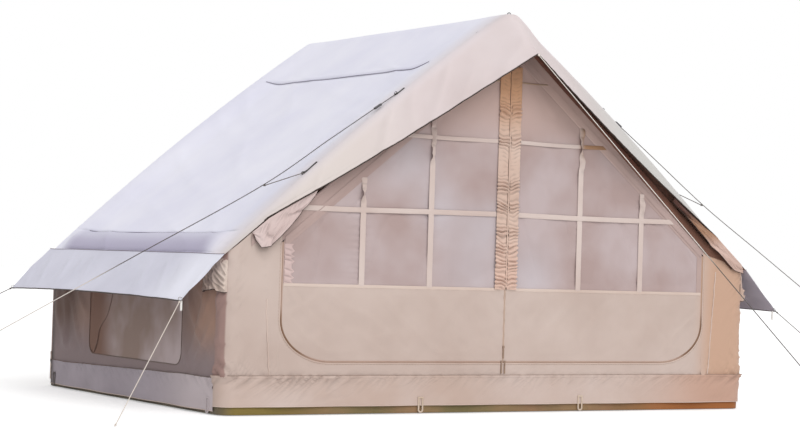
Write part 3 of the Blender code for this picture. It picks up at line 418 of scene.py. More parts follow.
def netting(name, hex_code, cover, spots=(), fades=()):
    """Fine net as a veil: cover is the share of light that it stops.

    spots are places, each with a radius, where daylight from the far side makes the veil paler and bluer.
    """
    look, tree, shader = start_material(name, hex_code, 0.85, slot="window_net", Alpha=cover)
    place = add(tree, "TexCoord").outputs
    tone = clouded(tree, place, NET_CLOUDS, (hex_code, 0.38), (NET_PALE, 0.66))
    seen = faded(tree, place, tone, [NET_TOP_PAINTED_LIGHT, *fades])
    for centre, radius in spots:
        here = {0: place["Object"]}
        away = add(tree, "VectorMath", {1: centre}, here, operation="DISTANCE")
        reach = {"From Min": radius, "From Max": 0.0, "To Max": DAYLIGHT_SHARE}
        value = {"Value": away.outputs["Value"]}
        share = add(tree, "MapRange", reach, value, interpolation_type="SMOOTHSTEP")
        both = {0: share.outputs["Result"], 6: seen}
        seen = add(tree, "Mix", {7: colour(DAYLIGHT)}, both, data_type="RGBA").outputs[2]
    tree.links.new(seen, shader.inputs["Base Color"])
    holes = {"Scale": 1 / NET_PITCH, "Randomness": 0.15}
    threads = add(tree, "TexVoronoi", holes, {"Vector": place["UV"]})
    press = {"Strength": 0.3, "Distance": MILLIMETRE}
    height = {"Height": threads.outputs["Distance"]}
    add(tree, "Bump", press, height, into=shader.inputs["Normal"])
    look.surface_render_method = "BLENDED"
    return look


# %% Ribbed and grained finishes


def ribbed(name, slot, hex_code, roughness, pitch, depth, way="Y", fades=(), **sockets):
    """A surface with small even ribs across it, such as a zip's coil or a braid."""
    look, tree, shader = start_material(name, hex_code, roughness, slot=slot, **sockets)
    place = add(tree, "TexCoord").outputs
    if fades:
        plain = add(tree, "RGB")
        plain.outputs[0].default_value = colour(hex_code)
        tree.links.new(faded(tree, place, plain.outputs[0], fades), shader.inputs["Base Color"])
    scale, across = {"Scale": 1 / pitch / WAVE_BANDS}, {"Vector": place["UV"]}
    ribs = add(tree, "TexWave", scale, across, bands_direction=way)
    press = {"Strength": 0.8, "Distance": depth}
    add(tree, "Bump", press, {"Height": ribs.outputs["Fac"]}, into=shader.inputs["Normal"])
    return look


def grained(name, slot, hex_code, roughness, metallic, grain, depth, **sockets):
    """A cast or moulded surface: a fine grain in its bump and a little of it in its roughness."""
    look, tree, shader = start_material(name, hex_code, roughness, metallic, slot=slot, **sockets)
    place = add(tree, "TexCoord").outputs
    scale, where = {"Scale": 1 / grain, "Detail": 3.0}, {"Vector": place["Object"]}
    grains = add(tree, "TexNoise", scale, where).outputs["Fac"]
    wear = {"To Min": roughness * 0.8, "To Max": min(1.0, roughness * 1.25)}
    add(tree, "MapRange", wear, {"Value": grains}, into=shader.inputs["Roughness"])
    press = {"Strength": 0.4, "Distance": depth}
    add(tree, "Bump", press, {"Height": grains}, into=shader.inputs["Normal"])
    return look


# %% Nets, ropes, metal and nylon
DAYLIGHT_SPOTS = (
    ((-0.54, FRONT, 1.19), 0.26),
    ((-0.2, FRONT, 0.7), 0.3),
    ((-0.13, FRONT, 0.9), 0.2),
    ((-0.36, FRONT, 0.95), 0.22),
    ((0.14, FRONT, 0.66), 0.25),
)
BRAID = dict(roughness=0.65, pitch=3 * MILLIMETRE, depth=0.5 * MILLIMETRE, way="DIAGONAL", IOR=1.5)
CAST = dict(metallic=1.0, grain=3 * MILLIMETRE, depth=0.1 * MILLIMETRE)
MOULDED = dict(metallic=0.0, grain=2 * MILLIMETRE, depth=0.1 * MILLIMETRE, IOR=1.53)
door_net = netting("door_net", "B7A09C", 0.9, DAYLIGHT_SPOTS)
window_net = netting("window_net", "A08A80", 0.86, fades=[("8A6A5C", ("Y", 0.12, 0.34), ("Y", 0.8, 0.6))])
braid = ribbed("braided_polyester", "guy_rope", "6A635F", **BRAID)
pale_braid = ribbed("pale_braided_polyester", "guy_rope", "DDD2C8", **BRAID)
left_braid = ribbed("left_guy_braid", "guy_rope", "4E4744", fades=[("CFC6BF", ("X", -1.95, -2.15))], **BRAID)
tip_braid = ribbed("tip_braid", "guy_rope", "F0E8E0", fades=[("5E5855", ("Y", -2.45, -2.6))], **BRAID)
cast_zinc = grained("cast_zinc", "slider_metal", "8C8784", 0.35, **CAST)
bronzed_zinc = grained("bronzed_zinc", "slider_metal", "A28C7C", 0.5, **CAST)
white_nylon = grained("white_nylon", "runner_plastic", "EDEAE6", 0.45, **MOULDED)
moulded_nylon = grained("moulded_nylon", "runner_plastic", "4A474A", 0.45, **MOULDED)
print("materials:", len(bpy.data.materials))

# %% [markdown]
# ## Building a cloth panel
#
# A panel starts as a grid of points, rows by columns. The grid is pushed along its own normals to make folds,
# given a UV map in metres so that the weave is true to size, and thickened inwards with a Solidify modifier.
# The flat size that a panel is cut to is measured on the grid before it is wrinkled.

# %% Grids
FOLD_STEPS = ((1, 150), (4, 45))
SHORTEST_STEP = 0.002
SEAM_FOLD_WIDTH, SEAM_FOLD_LENGTH, SEAM_FOLD_FADE = 0.05, 0.12, 0.035


def normals_of(grid):
    """Unit normals of a grid, from the run of its rows and columns."""
    across = np.gradient(grid, axis=1)
    down = np.gradient(grid, axis=0)
    found = np.cross(across, down)
    return found / np.maximum(norm(found, axis=2, keepdims=True), 1e-12)


def lengths_of(grid):
    """How far each point is along its row and along its column, in metres."""
    along = norm(np.diff(grid, axis=1), axis=2)
    down = norm(np.diff(grid, axis=0), axis=2)
    u = np.concatenate([np.zeros((len(grid), 1)), np.cumsum(along, axis=1)], axis=1)
    v = np.concatenate([np.zeros((1, grid.shape[1])), np.cumsum(down, axis=0)], axis=0)
    return u, v


def folds_of(grid):
    """How folded a grid is at each point: below 0 in a valley, above 0 on a ridge and 0 where it is flat.

    It looks at neighbours close by and further off, and each distance has its own sharpness.
    """
    normal = normals_of(grid)
    total = np.zeros(grid.shape[:2])
    for step, sharpness in FOLD_STEPS:
        for axis in (0, 1):
            count = grid.shape[axis]
            if count <= 2 * step:
                continue
            spans = [slice(low, low + count - 2 * step) for low in (0, step, 2 * step)]
            before, middle, after = [(slice(None), span) if axis else (span,) for span in spans]
            arrive, leave = grid[middle] - grid[before], grid[after] - grid[middle]
            lengths = [norm(way, axis=2, keepdims=True) for way in (arrive, leave)]
            first, second = (np.maximum(length, SHORTEST_STEP) for length in lengths)
            bend = 2 * (arrive / first - leave / second) / (first + second)
            total[middle] += (bend * normal[middle]).sum(axis=2) / sharpness
    return np.tanh(total)


def cut_size(grid, keep=None):
    """The flat width, length and area that a panel is cut to; keep says which of its faces stay."""
    u, v = lengths_of(grid)
    width, length = float(u[:, -1].max()), float(v[-1].max())
    a, b, c, d = grid[:-1, :-1], grid[:-1, 1:], grid[1:, 1:], grid[1:, :-1]
    halves = [norm(np.cross(near - a, far - a), axis=2) for near, far in ((b, c), (c, d))]
    faces = (halves[0] + halves[1]) / 2
    if keep is None:
        return width, length, min(float(faces.sum()), width * length)
    return width, length, float(faces[keep].sum())


# %% Folds and puckers


def rumple(u, v, size_u, size_v, seed):
    """Smooth noise from -1 to 1 over two arrays, stretched by its two sizes."""
    pairs = zip(np.ravel(u), np.ravel(v))
    flat = [noise.noise(Vector((a / size_u, b / size_v, seed))) for a, b in pairs]
    return np.reshape(flat, np.shape(u))


def waver(along, size, seed):
    """Smooth noise from -1 to 1 along a line."""
    return rumple(along, 0 * along, size, 1, seed)


def creases(u, v, size_u, size_v, seed):
    """Narrow ridges between smooth valleys, as in cloth that was folded: from 0 to 1."""
    return (1 - np.minimum(1, 3 * abs(rumple(u, v, size_u, size_v, seed)))) ** 2


def pucker(away, along, pitch, reach, seed):
    """The short ripples that a seam draws into cloth, fading with the distance away from it."""
    ripple = np.sin(2 * pi * (along / pitch + 0.8 * waver(along, 3 * pitch, seed)))
    size = 0.5 + waver(along, 6 * pitch, seed + 7)
    return ripple * size * np.exp(-abs(away) / reach)


def seam_folds(along, away, slant, seed):
    """Short slanting folds that start at a seam, where slack cloth is sewn to a straight edge."""
    folds = creases(along + slant * away, away, SEAM_FOLD_WIDTH, SEAM_FOLD_LENGTH, seed)
    return folds * np.exp(-abs(away) / SEAM_FOLD_FADE)


print("grid helpers ready")


# %% Panels


def mesh_from_grid(name, grid, outward, closed=False, keep=None):
    """A mesh from a grid, facing outward, with a UV map in metres; keep says which of its faces stay."""
    rows, columns = grid.shape[:2]
    u, v = lengths_of(grid)
    points = grid.reshape(-1, 3)
    index = np.arange(rows * columns).reshape(rows, columns)
    after = np.roll(index, -1, axis=1) if closed else index[:, 1:]
    before = index if closed else index[:, :-1]
    quads = np.stack([before[:-1], after[:-1], after[1:], before[1:]], axis=2).reshape(-1, 4)
    if keep is not None:
        quads = quads[np.ravel(keep)]
    a, b, d = points[quads[:, 0]], points[quads[:, 1]], points[quads[:, 3]]
    outward = np.asarray(outward, float)
    ways = outward if outward.ndim == 1 else a - outward[0]
    fold = folds_of(grid).ravel()
    if (np.cross(b - a, d - a) * ways).sum() < 0:
        quads = quads[:, ::-1]
        fold = -fold
    used, quads = np.unique(quads, return_inverse=True)
    quads = quads.reshape(-1, 4)
    points, u, v = points[used], u.ravel()[used], v.ravel()[used]
    mesh = bpy.data.meshes.new(name)
    mesh.from_pydata(points.tolist(), [], quads.tolist())
    mesh.attributes.new("fold", "FLOAT", "POINT").data.foreach_set("value", fold[used])
    layer = mesh.uv_layers.new(name="metres")
    corners = quads.ravel()
    layer.data.foreach_set("uv", np.stack([u[corners], v[corners]], axis=1).ravel())
    mesh.shade_smooth()
    return mesh


# %% Pieces on their bodies


def show(name, mesh, look, body, back=None):
    """Puts a mesh in the scene with its materials, riding on a body."""
    piece = bpy.data.objects.new(name, mesh)
    for material in [look, back] if back else [look]:
        mesh.materials.append(material)
    bpy.context.scene.collection.objects.link(piece)
    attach(piece, body)
    return piece


def panel(name, grid, outward, look, body="tent", thick=SEEN_CLOTH, back=None, replaces=(), **how):
    """A cloth panel from its grid, riding on a body. Its thickness goes inwards."""
    piece = show(name, mesh_from_grid(name, grid, outward, **how), look, body, back)
    weld = piece.modifiers.new("weld", "WELD")
    weld.merge_threshold = 0.00005
    solid = piece.modifiers.new("thickness", "SOLIDIFY")
    solid.thickness = thick
    solid.offset = -1
    if back:
        solid.material_offset = 1
    piece.modifiers.new("even_normals", "WEIGHTED_NORMAL")
    if replaces:
        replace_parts(piece, *replaces)
    return piece


def cut_note(piece, smooth, keep=None):
    """Prints the size that a panel's smooth grid was cut to; keep says which of its faces stay."""
    width, length, area = cut_size(smooth, keep)
    print(f"{piece.name}: cut {width:.2f} by {length:.2f} m, {area:.2f} square metres")


# %% Folds on a panel


def swollen(grid, amount, outward):
    """A grid pushed by an amount along its normals, on the side that outward looks to."""
    push = normals_of(grid)
    if (push * np.asarray(outward, float)).sum() < 0:
        push = -push
    return grid + push * np.asarray(amount, float)[..., None]


def sew(name, smooth, amount, outward, look, held="stretched", rests_on=(), **how):
    """A panel whose folds stand out of its smooth grid, with its cut size printed. Gives the folded grid."""
    grid = swollen(smooth, amount, outward)
    piece = panel(name, grid, outward, look, **how)
    cut_note(piece, smooth, keep=how.get("keep"))
    return grid


def both_sides(make, left_seed, right_seed):
    """Makes a piece on the left and on the right, each with its own seed."""
    make("left", -1, left_seed)
    make("right", 1, right_seed)


# %% Tubes and turned pieces
CAP_TURNS = np.linspace(0.15, pi / 2 - 0.1, 5)


def run_of(path):
    """How far each point of a path is along it, in metres."""
    return np.concatenate([[0], np.cumsum(norm(np.diff(path, axis=0), axis=1))])


def tube_grid(path, radii, sides):
    """Rings round a path, as a grid whose rows are the rings; radii is one value or one for each."""
    path = np.asarray(path, float)
    radii = np.broadcast_to(radii, len(path))
    ways = np.gradient(path, axis=0)
    ways /= norm(ways, axis=1, keepdims=True)
    side = np.cross(ways[0], (0, 0, 1) if abs(ways[0][2]) < 0.9 else (1, 0, 0))
    rings = []
    for point, way, radius in zip(path, ways, radii):
        side = side - way * (side @ way)
        side /= norm(side)
        other = np.cross(way, side)
        turn = np.arange(sides) * 2 * pi / sides
        rings.append(point + radius * (np.cos(turn)[:, None] * side + np.sin(turn)[:, None] * other))
    return np.array(rings)


# %% Round pieces


def tube(name, path, radii, look, body="tent", sides=8, flat_ends=False):
    """A closed tube along a path, with rounded or flat ends."""
    path = np.asarray(path, float)
    radii = np.array(np.broadcast_to(radii, len(path)), float)
    if not flat_ends:
        caps = []
        for end, inner in ((0, 1), (-1, -2)):
            way = path[end] - path[inner]
            way /= norm(way)
            size = radii[end]
            caps.append([(path[end] + way * size * math.sin(t), size * math.cos(t)) for t in CAP_TURNS])
        first = [point for point, _ in reversed(caps[0])]
        last = [point for point, _ in caps[1]]
        radii = np.concatenate([[r for _, r in reversed(caps[0])], radii, [r for _, r in caps[1]]])
        path = np.concatenate([first, path, last])
    grid = tube_grid(path, radii, sides)
    rows, columns = grid.shape[:2]
    index = np.arange(rows * columns).reshape(rows, columns)
    after = np.roll(index, -1, axis=1)
    quads = np.stack([index[:-1], index[1:], after[1:], after[:-1]], axis=2).reshape(-1, 4).tolist()
    ends = [index[0].tolist(), index[-1][::-1].tolist()]
    mesh = bpy.data.meshes.new(name)
    mesh.from_pydata(grid.reshape(-1, 3).tolist(), [], quads + ends)
    along = run_of(path)
    layer = mesh.uv_layers.new(name="metres")
    for loop in mesh.loops:
        row, column = divmod(loop.vertex_index, columns)
        layer.data[loop.index].uv = (radii[row] * 2 * pi * column / sides, along[row])
    work = bmesh.new()
    work.from_mesh(mesh)
    bmesh.ops.recalc_face_normals(work, faces=work.faces)
    work.to_mesh(mesh)
    work.free()
    mesh.shade_smooth()
    mesh.set_sharp_from_angle(angle=math.radians(50))
    return show(name, mesh, look, body)


def through(points, count):
    """A smooth line through a few points: a Catmull-Rom curve with its own count of points."""
    points = np.asarray(points, float)
    padded = np.concatenate([[2 * points[0] - points[1]], points, [2 * points[-1] - points[-2]]])
    spans = len(points) - 1
    found = []
    for s in np.linspace(0, spans, count):
        i = min(int(s), spans - 1)
        t = s - i
        p0, p1, p2, p3 = padded[i : i + 4]
        bend = 2 * p1 + (p2 - p0) * t + (2 * p0 - 5 * p1 + 4 * p2 - p3) * t**2
        found.append(0.5 * (bend + (3 * p1 - p0 - 3 * p2 + p3) * t**3))
    return np.array(found)


print("panel and tube helpers ready")

# %% [markdown]
# ## Guy ropes
#
# A guy rope is braided polyester, 4 mm thick, and pulled tight from the tent to a peg. Two of them are
# Y-shaped: a long rope and a short leg, both sewn to the front arch's seam, meet in a knot. The routes are
# those of the solids. Each rope ends in a knot, where a peg outside the view would take it.

# %% Rope routes
ROPE_DIAMETER = 0.004
TIP_ROUTE = ((0, -1.2385, 1.70165), (0, -1.9, 1.2191), (0, -2.55, 0.7447), (0, -3.137, 0.316))
LEFT_ROUTE = (
    (-0.5917, -0.9534, 1.4949),
    (-0.9494, -0.9587, 1.258),
    (-1.307, -0.964, 1.021),
    (-1.9325, -0.979, 0.6835),
    (-2.558, -0.994, 0.346),
)
LEFT_LEG_ROUTE = ((-1.0767, -0.9534, 1.0971), (-1.1833, -0.9583, 1.0619), (-1.2899, -0.9632, 1.0266))
RIGHT_ROUTE = (
    (0.5917, -0.9534, 1.4949),
    (0.9324, -0.9532, 1.264),
    (1.273, -0.953, 1.033),
    (1.637, -0.9525, 0.815),
    (2.001, -0.952, 0.597),
)
RIGHT_LEG_ROUTE = ((1.0767, -0.9534, 1.0971), (1.1663, -0.9532, 1.0679), (1.2559, -0.953, 1.0386))
LEFT_FRONT_ROUTE = ((-1.71065, -1.02033, 0.50464), (-1.956, -1.251, 0.2536), (-2.2, -1.48, 0.004))
LEFT_REAR_ROUTE = ((-1.7105, 1.02053, 0.50479), (-1.7392, 1.0928, 0.476), (-1.767, 1.163, 0.448))
RIGHT_FRONT_ROUTE = ((1.71067, -1.02027, 0.50462), (1.7816, -1.0732, 0.4306), (1.851, -1.125, 0.358))

# %% Knots and ropes
KNOT_SIZE = 2.2 * ROPE_DIAMETER


def square_to(way):
    """A unit vector along a way, and two square to it."""
    way = Vector(way).normalized()
    side = way.orthogonal().normalized()
    return way, side, way.cross(side)


def knot(name, place, way, look):
    """A small overhand knot: one and a half turns of rope, drawn up tight round the line."""
    way, side, other = square_to(way)
    path = []
    for i in range(25):
        t = i / 24
        turn = 3 * pi * t
        reach = 0.75 * ROPE_DIAMETER * (0.7 + 0.5 * math.sin(pi * t))
        drift = (t - 0.5) * KNOT_SIZE
        path.append(Vector(place) + way * drift + (side * math.cos(turn) + other * math.sin(turn)) * reach)
    return tube(name, [tuple(p) for p in path], ROPE_DIAMETER * 0.45, look)


# %% Guy ropes


def guy_rope(name, route, look):
    """A taut rope along its route, with a knot at each end, and its real length printed."""
    path = through(route, 40)
    rope = tube(name + "_line", path, ROPE_DIAMETER / 2, look, sides=10, flat_ends=True)
    length = float(run_of(path)[-1])
    for word, end, way, inwards in (("start", 0, path[1] - path[0], 1), ("end", -1, path[-1] - path[-2], -1)):
        place = path[end] + inwards * way / norm(way) * KNOT_SIZE
        knot(f"{name}_{word}_knot", place, way, look)
    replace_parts(rope, name)
    print(f"{name}: {length:.2f} m")


guy_rope("canopy_tip_rope", TIP_ROUTE, tip_braid)
guy_rope("left_guy_rope", LEFT_ROUTE, left_braid)
guy_rope("left_guy_leg", LEFT_LEG_ROUTE, braid)
guy_rope("right_guy_rope", RIGHT_ROUTE, braid)
guy_rope("right_guy_leg", RIGHT_LEG_ROUTE, braid)
guy_rope("left_front_awning_rope", LEFT_FRONT_ROUTE, pale_braid)
guy_rope("left_rear_awning_rope", LEFT_REAR_ROUTE, braid)
guy_rope("right_front_awning_rope", RIGHT_FRONT_ROUTE, braid)

# %% [markdown]
# ## The fly
#
# One half of the fly is one large panel. Between the arches it sags, and a long straight crease runs below
# the ridge where the slack begins. Near the eave the beam under it shows as a soft bulge. The rear edge turns
# down over the rear arch and laps the wall. The folds are small heights pushed along the panel's normals.

# %% Fly shape
ROOF_SAG = 0.02
RIDGE_CREASE = 0.34
EAVE_CREASE = 0.12
CREASE_END = 0.3
BOW_REACH = 0.3
CREST_FLAT = 0.006
REAR_LAP = 0.035
BULGE_TOP, BULGE_FOOT, BULGE_HEIGHT = 1.386, 1.493, 0.024
TUCK_WIDTH, TUCK_RISE = 0.012, 0.009
ARC_STEPS = 14


def roof_lift(x, y):
    """How far the fly stands out of its slope: up over the arches, slack between them."""
    held = ramp(abs(y), ARCH_Y - BOW_REACH, ARCH_Y - CREST_FLAT)
    slack = np.clip((abs(x) - RIDGE_CREASE) / (HALF - EAVE_CREASE - RIDGE_CREASE), 0, 1)
    loose = 1 - ramp(abs(y), ARCH_Y - BOW_REACH - CREASE_END, ARCH_Y - BOW_REACH / 2)
    return bow(x) * held - ROOF_SAG * np.sin(pi * slack) * loose


def rear_wrap(x):
    """Points of the fly behind the rear arch's crest: round the beam, then down over the wall."""
    down, back = ARCH_RADIUS + SKIN, INSET + SKIN
    points = []
    for turn in np.linspace(0, pi / 2, ARC_STEPS)[1:]:
        drop = down * (1 - np.cos(turn)) - bow(x)
        points.append((ARCH_Y + back * math.sin(turn) + 0 * x, roof_top(x) - drop / COS))
    for share in (0.35, 0.7, 1):
        lap = roof_top(x) - (down + REAR_LAP * share) / COS
        top = points[ARC_STEPS - 2][1]
        points.append((HALF_DEPTH + SKIN + 0 * x, top + (lap - top) * share if share < 1 else lap))
    return points


def roof_columns(fine):
    """Places across a roof panel from the ridge to the eave, closer together at both ends."""
    parts = (
        np.linspace(SEAT / 2, 0.07, 8),
        np.linspace(0.085, RIDGE_CREASE - 0.035, 12),
        np.linspace(RIDGE_CREASE - 0.03, RIDGE_CREASE + 0.03, 25),
        np.linspace(RIDGE_CREASE + 0.04, BULGE_TOP - 0.03, fine),
        np.linspace(BULGE_TOP - 0.024, HALF, 38),
    )
    return np.concatenate(parts)


# %% Tucks and bulges


def tuck(away, wander):
    """A crease with a lip: the cloth rises slowly to it and drops off sharply, where away passes zero."""
    a = away - wander
    lip = np.exp(-np.maximum(-a, 0) / (3 * TUCK_WIDTH)) * (a <= 0)
    drop = np.exp(-((a / TUCK_WIDTH) ** 2)) * (a > 0)
    return TUCK_RISE * (0.6 * lip + 0.6 * drop) - 0.006 * np.exp(-(((a - TUCK_WIDTH) / TUCK_WIDTH) ** 2))


def eave_bulge(x, y, seed):
    """The fly's rise over the eave beam: a sharp start, a full round, a pinched foot and slack ends."""
    drift = 0.005 * waver(y, 0.35, seed)
    s = np.clip((abs(x) - BULGE_TOP - drift) / (BULGE_FOOT - BULGE_TOP), 0, 1)
    end = ARCH_Y - abs(y)
    window = ramp(end, 0.02, 0.14)
    folds = 0.25 * np.sin(2 * pi * y / 0.035) * np.exp(-abs(end - 0.07) / 0.04)
    valley = 0.005 * np.exp(-(((abs(x) - BULGE_TOP - drift + 0.004) / 0.007) ** 2))
    return (BULGE_HEIGHT * np.sin(pi * s) ** 0.6 * (1 + folds) - valley) * window


# %% Fly panels


def make_fly(word, side, seed):
    """Half of the fly: its grid from the front arch to the rear lap, then its folds, creases and seams."""
    x = roof_columns(50)
    y = np.linspace(-ARCH_Y, ARCH_Y, 132)
    X, Y = np.meshgrid(x, y)
    main = np.stack([side * X, Y, roof_top(X) + roof_lift(X, Y) / COS], axis=2)
    wrap = [np.stack([side * x, wy, wz], axis=1) for wy, wz in rear_wrap(x)]
    smooth = np.concatenate([main, np.array(wrap)])
    u = np.broadcast_to(x, smooth.shape[:2])
    v = smooth[..., 1]
    held = ramp(ARCH_Y - abs(v), 0, 0.12)
    amount = 0.005 * rumple(u, v, 0.5, 0.7, seed) * held
    amount += 0.005 * creases(u + 0.3 * v, v - 0.3 * u, 0.22, 0.9, seed + 1) * ramp(u, 0.1, 0.4) * held
    wander = 0.004 * waver(v, 0.3, seed + 6)
    amount += tuck(u - RIDGE_CREASE, wander) * (1 - ramp(abs(v), 0.7, 0.9))
    amount += eave_bulge(u, v, seed)
    amount += 0.0014 * pucker(HALF - u, v, 0.045, 0.03, seed + 2)
    amount += 0.0012 * pucker(v + ARCH_Y, u, 0.05, 0.05, seed + 3)
    amount += 0.0012 * pucker(v - ARCH_Y, u, 0.05, 0.05, seed + 4)
    amount += 0.0008 * pucker(u, v, 0.06, 0.03, seed + 5)
    amount *= ramp(u, 0.0, 0.03)
    grid = swollen(smooth, amount, (side * SIN, 0, COS))
    grid[:, 0, 0] = side * SEAT / 2
    piece = panel(f"{word}_fly", grid, (side * SIN, 0, COS), fly_polyester, replaces=[f"{word}_roof"])
    # Thin dark tubes along the ridge crease and along the top of the eave bulge are painted shade, each
    # crease's shadow line.
    marks = (("ridge_crease_shadow", RIDGE_CREASE + TUCK_WIDTH, 0.85), ("bulge_top_shadow", BULGE_TOP - 0.004, 0.8))
    for name, place, end in marks:
        column = int(np.argmin(abs(x - place)))
        path = grid[: len(y), column][abs(y) < end] + 0.0015 * np.array([side * SIN, 0, COS])
        tube(f"{word}_{name}", path, 0.0018, crease_shade, sides=6)
    cut_note(piece, smooth)


both_sides(make_fly, 3.1, 9.7)

# %% [markdown]
# ## The canopy
#
# In front of the arch's crest the fly turns down round the beam and reaches forward to a hem. The hem is cut
# so that the canopy is widest at the ridge, where it ends in a tip, and runs out to nothing at the eaves. The
# inside is coated and browner than the outside, and its dark brown is also painted shade, for the shade under
# the canopy.

# %% Canopy shape
TIP_REACH, TIP_HEIGHT = 0.218, 1.702
HEM_END, HEM_SAG = 1.29, 0.02
PEAK_FORWARD, PEAK_HALF_WIDTH = 0.04, 0.2
HEM_FOLD = 0.022


def hem(x):
    """The hem over x: its place along Y, and its height."""
    share = np.minimum(1, x / HEM_END)
    sag = HEM_SAG * np.sin(pi * share)
    height = TIP_HEIGHT + (roof_line(HEM_END) - TIP_HEIGHT) * share - sag
    return -HALF_DEPTH - TIP_REACH * (1 - share), np.where(x > HEM_END, roof_line(x), height)


def canopy_line(x):
    """The canopy's section over one x, from crest to hem: an arc on the beam, then a straight drop."""
    peak = 1 - ramp(x, 0, PEAK_HALF_WIDTH)
    crest_y = -ARCH_Y - SEAT
    centre_y = crest_y - CREST_FLAT - PEAK_FORWARD * peak
    rho = ARCH_RADIUS + SKIN
    top = float(roof_top(x))
    rise = float(bow(x)) - rho
    hem_y, hem_z = (float(value) for value in hem(x))
    out, down = centre_y - hem_y, (hem_z - top) * COS - rise
    lean = math.atan2(down, out) + math.acos(min(1.0, rho / math.hypot(out, down)))
    wrap = max(0.0, pi / 2 - lean)
    line = [(crest_y, top + float(bow(x)) / COS)]
    for turn in np.linspace(0, wrap, 9):
        line.append((centre_y - rho * math.sin(turn), top + (rise + rho * math.cos(turn)) / COS))
    last_y, last_z = line[-1]
    for share in np.linspace(0, 1, 17)[1:]:
        line.append((last_y + (hem_y - last_y) * share, last_z + (hem_z - last_z) * share))
    return line


# %% Canopy panels


def make_canopy(word, side, seed):
    """Half of the canopy: its sections side by side, then its folds and the welt along its hem."""
    x = np.concatenate([np.linspace(SEAT / 2, 0.07, 9), np.linspace(0.085, HALF, 96)])
    columns = [[(side * a, b, c) for b, c in canopy_line(a)] for a in x]
    smooth = np.array(columns).transpose(1, 0, 2)
    u = np.broadcast_to(x, smooth.shape[:2])
    _, v = lengths_of(smooth)
    left = v[-1] - v
    free = ramp(v, 0.02, 0.12) * ramp(v[-1], 0.06, 0.2)
    if side > 0:
        free = free * (0.1 + 0.9 * ramp(left, 0.0, 0.08))
    amount = 0.006 * rumple(u, v, 0.32, 0.2, seed) * free
    amount += 0.006 * creases(u - 0.5 * v, v, 0.16, 0.5, seed + 1) * free
    amount += 0.0013 * pucker(v, u, 0.045, 0.03, seed + 2) * ramp(v[-1], 0.05, 0.12)
    amount += 0.0010 * pucker(left, u, 0.05, 0.02, seed + 3) * ramp(v[-1], 0.05, 0.12)
    amount += 0.0016 * (1 - ramp(left, HEM_FOLD - 0.003, HEM_FOLD)) * ramp(v[-1], 0.05, 0.12)
    amount *= ramp(u, 0.0, 0.03)
    outward = (side * SIN, -SIN, COS)
    grid = swollen(smooth, amount, outward)
    grid[:, 0, 0] = side * SEAT / 2
    solid = f"{word}_canopy"
    piece = panel(f"{solid}_cloth", grid, outward, front_lit_canopy_polyester, back=lining, replaces=[solid])
    cut_note(piece, smooth)
    edge = grid[-1][x < HEM_END + 0.04]
    tube(f"{word}_canopy_hem_welt", edge[:-1], 0.003, dark_piping)


both_sides(make_canopy, 21.3, 33.9)

# %% [markdown]
# ## Trims
#
# Two small helpers sew the panels together. A ribbon is a flat tape that follows a line over a surface, and
# a row of stitches is many short threads along a line. Real stitches are 3 mm long. They are drawn at 9 mm,
# because shorter ones don't show at this distance.

# %% Ribbons and stitches
STITCH, STITCH_PITCH = 9 * MILLIMETRE, 15 * MILLIMETRE
STITCH_RADIUS = 0.0006


def ribbon(name, first_edge, second_edge, outward, look, body="tent", thick=0.0008, crown=0.0006, **how):
    """A tape between two edges that run beside each other, slightly rounded across."""
    first, second = np.asarray(first_edge, float), np.asarray(second_edge, float)
    shares = np.linspace(0, 1, 5)
    grid = np.array([first + (second - first) * share for share in shares])
    rise = crown * np.sin(pi * shares)[:, None] * np.ones(len(first))
    return panel(name, swollen(grid, rise, outward), outward, look, body, thick, **how)


def stitches(name, path, outward, look):
    """A row of separate threads along a path, half sunk in the cloth."""
    along = run_of(path)
    out = np.asarray(outward, float)
    work = bmesh.new()
    for start in np.arange(STITCH_PITCH / 2, along[-1] - STITCH, STITCH_PITCH):
        places = (start, start + STITCH)
        ends = [np.array([np.interp(s, along, path[:, k]) for k in range(3)]) for s in places]
        way = ends[1] - ends[0]
        side = np.cross(way, out)
        side /= norm(side)
        rings = []
        for share, size in ((0, 0.3), (0.25, 1), (0.75, 1), (1, 0.3)):
            centre = ends[0] + way * share
            radius = STITCH_RADIUS * size
            turns = (0, pi / 2, pi, 3 * pi / 2)
            ring = [centre + radius * (side * math.cos(t) + out * math.sin(t)) for t in turns]
            rings.append([work.verts.new(point) for point in ring])
        for low, high in zip(rings, rings[1:]):
            for k in range(4):
                work.faces.new((low[k], low[k - 1], high[k - 1], high[k]))
        work.faces.new(rings[0])
        work.faces.new(rings[-1][::-1])
    bmesh.ops.recalc_face_normals(work, faces=work.faces)
    mesh = bpy.data.meshes.new(name)
    work.to_mesh(mesh)
    work.free()
    show(name, mesh, look, "tent")


thread = ribbed("sewing_thread", "strap_tape", "B79C86", 0.6, 1 * MILLIMETRE, 0.2 * MILLIMETRE, IOR=1.5)
print("stitch length in mm:", STITCH / MILLIMETRE)

# %% [markdown]
# ## Awnings
#
# The awning is a narrow strip sewn to the eave. Its outer edge is pulled at both corners, so it hangs in a
# shallow curve between them, with folds that run out from each corner.

# %% Awnings
AWNING_REACH, AWNING_DROP, AWNING_SAG = 0.21, 0.21, 0.012
AWNING_ROOT = HALF + SEAT + CLOTH * AWNING_DROP / math.hypot(AWNING_REACH, AWNING_DROP)
AWNING_EDGE = HALF + SEAT + AWNING_REACH


